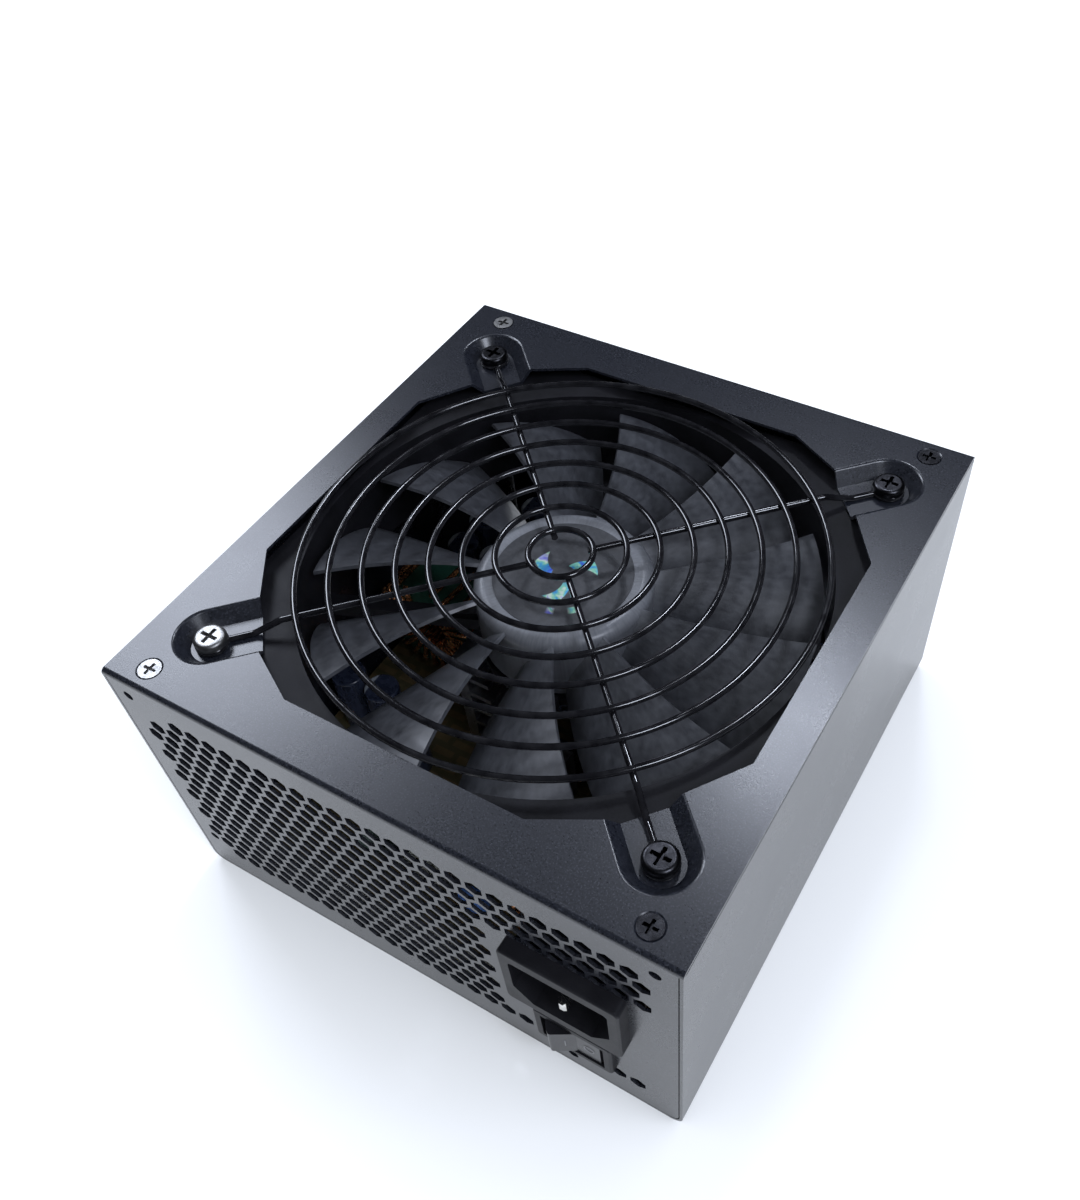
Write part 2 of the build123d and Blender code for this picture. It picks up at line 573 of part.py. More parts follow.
with BuildPart() as blade:
    for radius, bottom, top, sagitta, thickness in BLADE_SECTIONS:
        swept = BLADE_SWEEP * (radius - BLADE_TIP_R) / (BLADE_TIP_R - HUB_R) - BLADE_SPAN / 2
        outward = Vector(cos(radians(swept)), sin(radians(swept)), 0)
        tangent = Vector(0, 0, 1).cross(outward)
        half_chord = radius * tan(radians(BLADE_SPAN / 2))
        section_plane = Plane(origin=outward * radius, x_dir=tangent, z_dir=outward)
        lean = Vector(2 * half_chord, top - bottom).normalized()
        normal = Vector(-lean.Y, lean.X)
        trailing = Vector(-half_chord, bottom)
        leading = Vector(half_chord, top)
        middle = (trailing + leading) * 0.5 + normal * sagitta
        edge = normal * (BLADE_EDGE / 2)
        with BuildSketch(section_plane):
            with BuildLine():
                ThreePointArc(trailing + edge, middle + normal * (thickness / 2), leading + edge)
                Line(leading + edge, leading - edge)
                ThreePointArc(leading - edge, middle - normal * (thickness / 2), trailing - edge)
                Line(trailing - edge, trailing + edge)
            make_face()
    loft()
    with Locations((0, 0, FAN_BOTTOM)):
        Cylinder(radius=BLADE_TIP_R, height=2 * FAN_HEIGHT, mode=Mode.INTERSECT)

with BuildPart() as fan_impeller:
    with BuildSketch(Plane.XY.offset(HUB_BOTTOM)):
        with Locations((0, FAN_Y)):
            Circle(HUB_R)
    extrude(amount=HUB_TOP - HUB_BOTTOM)
    fillet(fan_impeller.edges().group_by(Axis.Z)[-1], HUB_EDGE)
    with BuildSketch(Plane.XY.offset(HUB_BOTTOM)):
        with Locations((0, FAN_Y)):
            Circle(HUB_R - HUB_WALL)
    extrude(amount=HUB_TOP - HUB_ROOF - HUB_BOTTOM, mode=Mode.SUBTRACT)
    with BuildSketch(Plane.XY.offset(HUB_TOP - HUB_ROOF)):
        with Locations((0, FAN_Y)):
            Circle(SHAFT_SEAT_R)
    extrude(amount=-SHAFT_SEAT_DEPTH)
    with Locations((0, FAN_Y)):
        with PolarLocations(0, BLADE_COUNT, start_angle=BLADE_START):
            add(blade.part)
    with BuildSketch(Plane.XY.offset(HUB_TOP - HUB_ROOF - SHAFT_SEAT_DEPTH)):
        with Locations((0, FAN_Y)):
            Circle(SHAFT_R)
    extrude(amount=SHAFT_SEAT_DEPTH + SHAFT_REACH, mode=Mode.SUBTRACT)

with BuildPart() as hub_sticker:
    with BuildSketch(Plane.XY.offset(HUB_TOP)):
        with Locations((0, FAN_Y)):
            Circle(STICKER_R)
    extrude(amount=STICKER_THICKNESS)

cup_r = HUB_R - HUB_WALL
cup_height = HUB_TOP - HUB_ROOF - HUB_BOTTOM - CUP_LIFT

with BuildPart() as fan_rotor_cup:
    with BuildSketch(Plane.XY.offset(HUB_BOTTOM + CUP_LIFT)):
        with Locations((0, FAN_Y)):
            Circle(cup_r)
    extrude(amount=cup_height)
    with BuildSketch(Plane.XY.offset(HUB_BOTTOM + CUP_LIFT)):
        with Locations((0, FAN_Y)):
            Circle(cup_r - CUP_WALL)
    extrude(amount=cup_height - CUP_WALL, mode=Mode.SUBTRACT)
    with BuildSketch(Plane.XY.offset(HUB_TOP)):
        with Locations((0, FAN_Y)):
            Circle(SHAFT_SEAT_R + HEAD_CLEARANCE)
    extrude(amount=-HUB_ROOF - 2 * SHAFT_SEAT_DEPTH, mode=Mode.SUBTRACT)

with BuildPart() as fan_magnet_ring:
    with BuildSketch(Plane.XY.offset(HUB_BOTTOM + MAGNET_LIFT)):
        with Locations((0, FAN_Y)):
            Circle(cup_r - CUP_WALL)
            Circle(STATOR_R + AIR_GAP, mode=Mode.SUBTRACT)
    extrude(amount=MAGNET_HEIGHT)

with BuildPart() as fan_shaft:
    with BuildSketch(Plane.XY.offset(MOTOR_SEAT + SHAFT_LIFT)):
        with Locations((0, FAN_Y)):
            Circle(SHAFT_R)
    extrude(amount=HUB_TOP - HUB_ROOF + SHAFT_REACH - MOTOR_SEAT - SHAFT_LIFT)

# ---------------------------------------------------------------- mains inlet

inlet_front = REAR - INLET_PROUD
inlet_back = inlet_front + INLET_DEPTH
pin_places = {"line": (INLET_X - PIN_SPREAD, INLET_Z + PIN_RISE),
              "neutral": (INLET_X + PIN_SPREAD, INLET_Z + PIN_RISE),
              "earth": (INLET_X, INLET_Z - PIN_RISE)}


def inlet_pin(centre, tip):
    """Adds one flat blade that runs from its tip through the back of the inlet."""
    with BuildSketch(Plane.XZ.offset(-tip)) as section:
        with Locations(centre):
            Rectangle(PIN_WIDTH, PIN_HEIGHT)
    extrude(section.sketch, amount=-(inlet_back + PIN_TAIL - tip))


with BuildPart() as inlet_housing:
    with BuildSketch(Plane.XZ.offset(-REAR)):
        with Locations((INLET_X, INLET_Z)):
            RectangleRounded(*INLET_FLANGE, 1.5)
    extrude(amount=INLET_PROUD)
    fillet(inlet_housing.faces().sort_by(Axis.Y)[0].edges(), 0.6)
    with BuildSketch(Plane.XZ.offset(-REAR)):
        with Locations((INLET_X, INLET_Z)):
            Rectangle(*INLET_BODY)
    extrude(amount=-(inlet_back - REAR))
    with BuildSketch(Plane.XZ.offset(-inlet_front)) as cavity:
        with Locations((INLET_X, INLET_Z)):
            Rectangle(*INLET_CAVITY)
        chamfer(cavity.vertices().group_by(Axis.Y)[0], INLET_CHAMFER)
        fillet(cavity.vertices().group_by(Axis.Y)[-1], 1.2)
    extrude(amount=-INLET_CAVITY_DEPTH, mode=Mode.SUBTRACT)
    with BuildSketch(Plane.XZ.offset(-inlet_front)):
        with Locations(*pin_places.values()):
            Rectangle(PIN_WIDTH + 2 * PIN_CLEARANCE, PIN_HEIGHT + 2 * PIN_CLEARANCE)
    extrude(amount=-INLET_DEPTH, mode=Mode.SUBTRACT)

with BuildPart() as inlet_power_pins:
    inlet_pin(pin_places["line"], inlet_front + POWER_PIN_RECESS)
    inlet_pin(pin_places["neutral"], inlet_front + POWER_PIN_RECESS)
    chamfer(inlet_power_pins.faces().group_by(Axis.Y)[0].edges(), PIN_POINT)

with BuildPart() as inlet_earth_pin:
    inlet_pin(pin_places["earth"], inlet_front + EARTH_PIN_RECESS)
    chamfer(inlet_earth_pin.faces().sort_by(Axis.Y)[0].edges(), PIN_POINT)

# ---------------------------------------------------------------- rocker switch

pivot_y = REAR - BEZEL_PROUD + PIVOT_DEPTH
switch_back = REAR + SWITCH_DEPTH
terminal_places = [(SWITCH_X + offset, SWITCH_Z) for offset in TERMINAL_OFFSETS]

with BuildPart() as switch_housing:
    with BuildSketch(Plane.XZ.offset(-REAR)):
        with Locations((SWITCH_X, SWITCH_Z)):
            RectangleRounded(*BEZEL, 1.2)
    extrude(amount=BEZEL_PROUD)
    fillet(switch_housing.faces().sort_by(Axis.Y)[0].edges(), 0.7)
    with BuildSketch(Plane.XZ.offset(-REAR)):
        with Locations((SWITCH_X, SWITCH_Z)):
            Rectangle(*SWITCH_BODY)
    extrude(amount=-SWITCH_DEPTH)
    with BuildSketch(Plane.XZ.offset(-REAR + BEZEL_PROUD)):
        with Locations((SWITCH_X, SWITCH_Z)):
            Rectangle(*SWITCH_MOUTH)
    extrude(amount=-BEZEL_PROUD - SWITCH_DEPTH + SWITCH_FLOOR, mode=Mode.SUBTRACT)
    with Locations((SWITCH_X, pivot_y, SWITCH_Z)):
        Cylinder(radius=PIVOT_RADIUS + PIVOT_CLEARANCE, height=SWITCH_BODY[1], mode=Mode.SUBTRACT)
    with BuildSketch(Plane.XZ.offset(-switch_back)):
        with Locations(*terminal_places):
            Rectangle(TERMINAL[0] + 2 * PIN_CLEARANCE, TERMINAL[1] + 2 * PIN_CLEARANCE)
    extrude(amount=SWITCH_FLOOR, mode=Mode.SUBTRACT)

with BuildPart() as switch_terminals:
    with BuildSketch(Plane.XZ.offset(-switch_back + TERMINAL_GRIP)):
        with Locations(*terminal_places):
            Rectangle(*TERMINAL)
    extrude(amount=-TERMINAL_LENGTH)
    chamfer(switch_terminals.faces().group_by(Axis.Y)[-1].edges().filter_by(Axis.X), 0.3)

with BuildPart() as switch_rocker:
    # At rest the left end stands out and the right half lies level, just inside the bezel
    pressed_angle = degrees(asin(ROCKER_PRESSED_RISE / ROCKER_RADIUS))
    face_end = (ROCKER_RADIUS * cos(radians(pressed_angle + ROCKER_TILT)),
                -ROCKER_RADIUS * sin(radians(pressed_angle + ROCKER_TILT)))
    face_middle = (0, -ROCKER_PRESSED_RISE / cos(radians(ROCKER_TILT)))
    skirt_end = (ROCKER_RADIUS * cos(radians(SKIRT_ANGLE)), ROCKER_RADIUS * sin(radians(SKIRT_ANGLE)))
    seen_from_above = Plane(origin=(SWITCH_X, pivot_y, SWITCH_Z - ROCKER_WIDTH / 2), x_dir=(1, 0, 0),
                            z_dir=(0, 0, 1))
    with BuildSketch(seen_from_above.rotated((0, 0, ROCKER_TILT))):
        with BuildLine():
            Line(face_middle, face_end)
            RadiusArc(face_end, skirt_end, -ROCKER_RADIUS)
            Polyline(skirt_end, SKIRT_FOOT, (0, SKIRT_FOOT[1]))
            mirror(about=Plane.YZ)
        make_face()
    extrude(amount=ROCKER_WIDTH)
    fillet(switch_rocker.edges().filter_by(Axis.Z).group_by(Axis.Y)[0], 0.8)
    with Locations((SWITCH_X, pivot_y, SWITCH_Z)):
        Cylinder(radius=PIVOT_RADIUS, height=ROCKER_WIDTH + 2 * PIVOT_OVERHANG)

# ---------------------------------------------------------------- circuit board

standoff_places = GridLocations(2 * STANDOFF_X, 2 * STANDOFF_Y, 2, 2)

with BuildPart() as insulation_sheet:
    with BuildSketch(Plane.XY.offset(SHEET + INSULATION_LIFT)):
        Rectangle(*INSULATION_SIZE)
        with standoff_places:
            Circle(1.2 * STANDOFF_R, mode=Mode.SUBTRACT)
    extrude(amount=INSULATION_THICKNESS)

with BuildPart() as board_standoffs:
    with BuildSketch(Plane.XY.offset(SHEET)):
        with standoff_places:
            RegularPolygon(STANDOFF_R, 6)
            Circle(BOARD_SCREW_R + THREAD_CLEARANCE, mode=Mode.SUBTRACT)
    extrude(amount=STANDOFF_HEIGHT)

with BuildPart() as board_screws:
    with BuildSketch(Plane.XY.offset(BOARD_TOP)):
        with standoff_places:
            Circle(BOARD_SCREW_HEAD[0])
    extrude(amount=BOARD_SCREW_HEAD[1])
    fillet(board_screws.edges().group_by(Axis.Z)[-1], 0.8)
    with BuildSketch(Plane.XY.offset(BOARD_TOP)):
        with standoff_places:
            Circle(BOARD_SCREW_R)
    extrude(amount=-BOARD_SCREW_LENGTH)

with BuildPart() as main_board:
    with BuildSketch(Plane.XY.offset(BOARD_BOTTOM)):
        Rectangle(*BOARD_SIZE)
        with standoff_places:
            Circle(BOARD_SCREW_R + 2 * CUTOUT_CLEARANCE, mode=Mode.SUBTRACT)
    extrude(amount=BOARD_THICKNESS)


def above_board(centre):
    """Turns a place whose height counts from the board's top into one in the part's frame."""
    return (centre[0], centre[1], BOARD_TOP + centre[2])


def heatsink(x, side, screw_places):
    """Adds an extruded plate heatsink: an upright wall along Y, fins on one side, screw holes."""
    wall, height = HEATSINK_WALL
    fin_x = x + side * (wall + HEATSINK_FIN[0] - CUTOUT_CLEARANCE) / 2
    with BuildSketch(Plane.XZ.offset(-HEATSINK_FRONT)) as profile:
        with Locations((x, BOARD_TOP + HEATSINK_LIFT + height / 2)):
            Rectangle(wall, height)
        with Locations(*[(fin_x, BOARD_TOP + FIN_START + FIN_PITCH * fin) for fin in range(FIN_COUNT)]):
            Rectangle(*HEATSINK_FIN)
    extrude(profile.sketch, amount=HEATSINK_LENGTH)
    with Locations(*[(x, y, BOARD_TOP + DEVICE_SCREW_Z) for y in screw_places]):
        Cylinder(radius=DEVICE_SCREW_R + THREAD_CLEARANCE, height=3 * wall, rotation=(0, 90, 0),
                 mode=Mode.SUBTRACT)


def power_device(x, y, side):
    """Adds an upright transistor package whose metal tab lies against the heatsink wall at x."""
    tab_x = x + side * DEVICE_TAB[0] / 2
    body_x = x + side * DEVICE_BODY_OFFSET
    with Locations((body_x, y, BOARD_TOP + DEVICE_BODY_Z)):
        Box(*DEVICE_BODY)
    with Locations((tab_x, y, BOARD_TOP + DEVICE_TAB_Z)):
        Box(*DEVICE_TAB)
    legs = [(body_x, y + leg * DEVICE_LEG_PITCH, BOARD_TOP + DEVICE_LEG[2] / 2) for leg in (-1, 0, 1)]
    with Locations(*legs):
        Box(*DEVICE_LEG)
    with Locations((tab_x, y, BOARD_TOP + DEVICE_SCREW_Z)):
        Cylinder(radius=DEVICE_HOLE_R, height=3 * DEVICE_TAB[0], rotation=(0, 90, 0), mode=Mode.SUBTRACT)


def transformer_core_at(x, y, lift, width, depth, height):
    """Adds the ferrite core of a transformer: a closed frame with two windows and a centre leg."""
    middle = BOARD_TOP + lift + height / 2
    with Locations((x, y, middle)):
        Box(width, depth, height)
    with Locations(*[(x + side * width * 0.26, y, middle) for side in (-1, 1)]):
        Box(width * 0.24, depth, height * 0.6, mode=Mode.SUBTRACT)


def transformer_winding_at(x, y, lift, width, depth, height):
    """Adds the taped winding that fills the windows of a core and bulges out on both sides."""
    with Locations((x, y, BOARD_TOP + lift + height / 2)):
        Box(width * 0.74, depth + WINDING_OVERHANG, height * 0.58)
        Box(width * 0.29, depth + 2 * WIRE_CLEARANCE, height * 0.7, mode=Mode.SUBTRACT)


with BuildPart() as primary_heatsink:
    heatsink(PRIMARY_HEATSINK_X, -1, TRANSISTOR_PLACES + (BRIDGE_Y,))

with BuildPart() as secondary_heatsink:
    heatsink(SECONDARY_HEATSINK_X, 1, RECTIFIER_PLACES)

primary_face = PRIMARY_HEATSINK_X + HEATSINK_WALL[0] / 2 + TAB_CONTACT
secondary_face = SECONDARY_HEATSINK_X - HEATSINK_WALL[0] / 2 - TAB_CONTACT

with BuildPart() as power_transistors:
    for device_y in TRANSISTOR_PLACES:
        power_device(primary_face, device_y, 1)

with BuildPart() as bridge_rectifier:
    bridge_x = primary_face + BRIDGE_BODY[0] / 2
    with Locations((bridge_x, BRIDGE_Y, BOARD_TOP + BRIDGE_Z)):
        Box(*BRIDGE_BODY)
    with Locations((bridge_x, BRIDGE_Y, BOARD_TOP + DEVICE_SCREW_Z)):
        Cylinder(radius=DEVICE_HOLE_R, height=2 * BRIDGE_BODY[0], rotation=(0, 90, 0), mode=Mode.SUBTRACT)
    leg_z = BOARD_TOP + BRIDGE_LEG[2] / 2
    with Locations(*[(bridge_x, BRIDGE_Y + leg, leg_z) for leg in BRIDGE_LEG_OFFSETS]):
        Box(*BRIDGE_LEG)

with BuildPart() as output_rectifiers:
    for device_y in RECTIFIER_PLACES:
        power_device(secondary_face, device_y, -1)

with BuildPart() as heatsink_screw:
    Cylinder(radius=DEVICE_SCREW_R, height=DEVICE_SCREW_LENGTH, align=(Align.CENTER, Align.CENTER, Align.MAX))
    Cylinder(radius=DEVICE_SCREW_HEAD[0], height=DEVICE_SCREW_HEAD[1],
             align=(Align.CENTER, Align.CENTER, Align.MIN))
    fillet(heatsink_screw.edges().group_by(Axis.Z)[-1], 0.7)
    cross_recess(DEVICE_SCREW_HEAD[1], 3.0, 0.8, 1.0)

with BuildPart() as heatsink_screws:
    screw_z = BOARD_TOP + DEVICE_SCREW_Z
    head_seat = DEVICE_TAB[0] + TAB_CONTACT
    places = [Location((primary_face + head_seat, y, screw_z), (0, 90, 0)) for y in TRANSISTOR_PLACES]
    places.append(Location((primary_face + BRIDGE_BODY[0] + TAB_CONTACT, BRIDGE_Y, screw_z), (0, 90, 0)))
    places += [Location((secondary_face - head_seat, y, screw_z), (0, -90, 0)) for y in RECTIFIER_PLACES]
    with Locations(*places):
        add(heatsink_screw.part)

with BuildPart() as transformer_core:
    transformer_core_at(*MAIN_TRANSFORMER)

with BuildPart() as transformer_winding:
    transformer_winding_at(*MAIN_TRANSFORMER)

with BuildPart() as standby_transformer_core:
    transformer_core_at(*STANDBY_TRANSFORMER)

with BuildPart() as standby_transformer_winding:
    transformer_winding_at(*STANDBY_TRANSFORMER)


def ring_core(plane, inner, outer, height):
    """Adds a ring core centred on a plane."""
    with BuildSketch(plane) as section:
        Circle(outer)
        Circle(inner, mode=Mode.SUBTRACT)
    extrude(section.sketch, amount=height / 2, both=True)


def ring_winding(plane, ring, wire, turns, spans):
    """Adds wire loops side by side around a ring core, on one or more spans of the ring."""
    inner, outer, height = ring
    gap = 2 * WIRE_CLEARANCE
    for start, end in spans:
        for turn in range(turns):
            angle = radians(start + (end - start) * turn / (turns - 1))
            outward = plane.x_dir * cos(angle) + plane.y_dir * sin(angle)
            along = plane.y_dir * cos(angle) - plane.x_dir * sin(angle)
            loop_centre = plane.origin + outward * ((inner + outer) / 2)
            with BuildSketch(Plane(origin=loop_centre, x_dir=outward, z_dir=along)) as loop:
                RectangleRounded(outer - inner + 2 * wire + gap, height + 2 * wire + gap, wire + gap / 2)
                RectangleRounded(outer - inner + gap, height + gap, gap / 2, mode=Mode.SUBTRACT)
            extrude(loop.sketch, amount=wire * WIRE_SPACING, both=True)


output_choke_plane = Plane(origin=above_board(OUTPUT_CHOKE_CENTRE), x_dir=(1, 0, 0), z_dir=(0, 1, 0))
pfc_choke_plane = Plane(origin=above_board(PFC_CHOKE_CENTRE), x_dir=(1, 0, 0), z_dir=(0, 1, 0))
filter_choke_plane = Plane(origin=above_board(FILTER_CHOKE_CENTRE), x_dir=(1, 0, 0), z_dir=(0, 0, 1))

with BuildPart() as output_choke_core:
    ring_core(output_choke_plane, *OUTPUT_CHOKE_RING)

with BuildPart() as output_choke_winding:
    ring_winding(output_choke_plane, OUTPUT_CHOKE_RING, *OUTPUT_CHOKE_WIRE)

with BuildPart() as pfc_choke_core:
    ring_core(pfc_choke_plane, *PFC_CHOKE_RING)

with BuildPart() as pfc_choke_winding:
    ring_winding(pfc_choke_plane, PFC_CHOKE_RING, *PFC_CHOKE_WIRE)

with BuildPart() as filter_choke_core:
    ring_core(filter_choke_plane, *FILTER_CHOKE_RING)

with BuildPart() as filter_choke_winding:
    ring_winding(filter_choke_plane, FILTER_CHOKE_RING, *FILTER_CHOKE_WIRE)

with BuildPart() as bulk_capacitors:
    with BuildSketch(Plane.XY.offset(BOARD_TOP)):
        with Locations(*BULK_CAPACITOR_PLACES):
            Circle(BULK_CAPACITOR[0])
    extrude(amount=BULK_CAPACITOR[1])
    fillet(bulk_capacitors.edges().group_by(Axis.Z)[-1], 1.5)
    with BuildSketch(Plane.XY.offset(BOARD_TOP + BULK_CAPACITOR[1])):
        with Locations(*BULK_CAPACITOR_PLACES):
            Circle(BULK_CAPACITOR_DISH[0])
    extrude(amount=-BULK_CAPACITOR_DISH[1], mode=Mode.SUBTRACT)

with BuildPart() as output_capacitors:
    with BuildSketch(Plane.XY.offset(BOARD_TOP)):
        with Locations(*OUTPUT_CAPACITOR_PLACES):
            Circle(OUTPUT_CAPACITOR[0])
    extrude(amount=OUTPUT_CAPACITOR[1])
    fillet(output_capacitors.edges().group_by(Axis.Z)[-1], 0.8)

with BuildPart() as film_capacitors:
    for centre, size in (SMALL_FILM_CAPACITOR, LARGE_FILM_CAPACITOR):
        with Locations(above_board(centre)):
            Box(*size)
    fillet(film_capacitors.edges().filter_by(Axis.Z), 0.8)

with BuildPart() as ceramic_capacitors:
    with Locations(*[(CERAMIC_X, y, BOARD_TOP + CERAMIC_Z) for y in CERAMIC_PLACES]):
        Cylinder(radius=CERAMIC_DISC[0], height=CERAMIC_DISC[1], rotation=(90, 0, 0))
    fillet(ceramic_capacitors.edges(), 1.2)
    with Locations(*[(CERAMIC_X + side * CERAMIC_LEG_OFFSET, y, BOARD_TOP + CERAMIC_LEG[2] / 2)
                     for side in (-1, 1) for y in CERAMIC_PLACES]):
        Box(*CERAMIC_LEG)

with BuildPart() as fuse_tube:
    with Locations(above_board(FUSE_CENTRE)):
        Cylinder(radius=FUSE_TUBE[0], height=FUSE_TUBE[1], rotation=(0, 90, 0))

with BuildPart() as fuse_caps:
    with Locations(above_board(FUSE_CENTRE)):
        with Locations((-FUSE_CAP_OFFSET, 0), (FUSE_CAP_OFFSET, 0)):
            Cylinder(radius=FUSE_CAP[0], height=FUSE_CAP[1], rotation=(0, 90, 0))

with BuildPart() as inrush_thermistor:
    with Locations(above_board(THERMISTOR_CENTRE)):
        Cylinder(radius=THERMISTOR_DISC[0], height=THERMISTOR_DISC[1], rotation=(0, 90, 0))
    fillet(inrush_thermistor.edges(), 1.0)
    with Locations(*[(THERMISTOR_CENTRE[0], THERMISTOR_CENTRE[1] + side * THERMISTOR_LEG_OFFSET,
                      BOARD_TOP + THERMISTOR_LEG[2] / 2) for side in (-1, 1)]):
        Box(*THERMISTOR_LEG)

with BuildPart() as control_board:
    with Locations(above_board(CONTROL_BOARD_CENTRE)):
        Box(*CONTROL_BOARD)

with BuildPart() as control_chips:
    for centre, size in CONTROL_CHIPS:
        with Locations(above_board(centre)):
            Box(*size)

# ---------------------------------------------------------------- write each piece

finished = {
    "base_shell": base_shell,
    "fan_cover": fan_cover,
    "cable_grommet": cable_grommet,
    "cover_screws_silver": cover_screws_silver,
    "cover_screws_black": cover_screws_black,
    "fan_screw_silver": fan_screw_silver,
    "fan_screws_black": fan_screws_black,
    "fan_guard": fan_guard,
    "fan_frame": fan_frame,
    "fan_motor_mount": fan_motor_mount,
    "fan_bearing": fan_bearing,
    "fan_circuit_board": fan_circuit_board,
    "fan_stator_core": fan_stator_core,
    "fan_stator_coils": fan_stator_coils,
    "fan_impeller": fan_impeller,
    "hub_sticker": hub_sticker,
    "fan_rotor_cup": fan_rotor_cup,
    "fan_magnet_ring": fan_magnet_ring,
    "fan_shaft": fan_shaft,
    "inlet_housing": inlet_housing,
    "inlet_power_pins": inlet_power_pins,
    "inlet_earth_pin": inlet_earth_pin,
    "switch_housing": switch_housing,
    "switch_terminals": switch_terminals,
    "switch_rocker": switch_rocker,
    "insulation_sheet": insulation_sheet,
    "board_standoffs": board_standoffs,
    "board_screws": board_screws,
    "main_board": main_board,
    "primary_heatsink": primary_heatsink,
    "secondary_heatsink": secondary_heatsink,
    "power_transistors": power_transistors,
    "bridge_rectifier": bridge_rectifier,
    "output_rectifiers": output_rectifiers,
    "heatsink_screws": heatsink_screws,
    "transformer_core": transformer_core,
    "transformer_winding": transformer_winding,
    "standby_transformer_core": standby_transformer_core,
    "standby_transformer_winding": standby_transformer_winding,
    "output_choke_core": output_choke_core,
    "output_choke_winding": output_choke_winding,
    "pfc_choke_core": pfc_choke_core,
    "pfc_choke_winding": pfc_choke_winding,
    "filter_choke_core": filter_choke_core,
    "filter_choke_winding": filter_choke_winding,
    "bulk_capacitors": bulk_capacitors,
    "output_capacitors": output_capacitors,
    "film_capacitors": film_capacitors,
    "ceramic_capacitors": ceramic_capacitors,
    "fuse_tube": fuse_tube,
    "fuse_caps": fuse_caps,
    "inrush_thermistor": inrush_thermistor,
    "control_board": control_board,
    "control_chips": control_chips,
}

os.makedirs("parts", exist_ok=True)
for name, piece in finished.items():
    piece.part.label = name
    export_step(piece.part, f"parts/{name}.step")
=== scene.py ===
"""Looks of the power supply unit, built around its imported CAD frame.

Every CAD node keeps its shape and gets a procedural finish. The wire windings, the capacitor tops
and the marks on the rocker are new pieces. A pale floor, soft lights and the camera come last.
"""
import json
from math import cos, pi, radians, sin

import bmesh
import bpy
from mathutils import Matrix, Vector


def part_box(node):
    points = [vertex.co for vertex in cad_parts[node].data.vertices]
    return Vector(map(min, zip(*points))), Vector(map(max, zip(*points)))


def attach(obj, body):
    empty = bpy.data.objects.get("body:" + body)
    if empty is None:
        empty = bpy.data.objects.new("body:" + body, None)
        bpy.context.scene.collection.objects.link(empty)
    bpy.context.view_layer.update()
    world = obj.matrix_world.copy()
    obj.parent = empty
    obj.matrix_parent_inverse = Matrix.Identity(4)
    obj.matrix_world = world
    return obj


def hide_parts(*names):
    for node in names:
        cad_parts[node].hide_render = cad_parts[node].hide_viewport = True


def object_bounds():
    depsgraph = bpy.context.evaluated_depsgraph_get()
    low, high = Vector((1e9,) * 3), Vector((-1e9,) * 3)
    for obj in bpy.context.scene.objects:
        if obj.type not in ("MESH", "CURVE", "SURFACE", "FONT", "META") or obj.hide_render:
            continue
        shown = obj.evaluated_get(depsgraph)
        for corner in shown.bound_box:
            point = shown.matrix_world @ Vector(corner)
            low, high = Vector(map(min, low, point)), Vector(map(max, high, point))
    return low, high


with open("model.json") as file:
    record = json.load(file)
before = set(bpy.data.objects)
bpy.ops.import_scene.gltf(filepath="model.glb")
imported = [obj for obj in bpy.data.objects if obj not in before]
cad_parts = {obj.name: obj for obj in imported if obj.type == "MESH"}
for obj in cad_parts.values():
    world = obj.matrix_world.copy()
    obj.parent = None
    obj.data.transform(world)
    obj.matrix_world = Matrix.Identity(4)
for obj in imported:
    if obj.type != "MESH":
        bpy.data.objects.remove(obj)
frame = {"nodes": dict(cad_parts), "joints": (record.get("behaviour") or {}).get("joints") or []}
cad_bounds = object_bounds()
nodes = frame["nodes"]

MM = 0.001
ROTOR_JOINT = next(joint for joint in frame["joints"] if joint["name"] == "fan_spin")
ROCKER_JOINT = next(joint for joint in frame["joints"] if joint["name"] == "rocker_tip")
FAN_AXIS = Vector(ROTOR_JOINT["pos_m"])


# ---------------------------------------------------------------- shader helpers


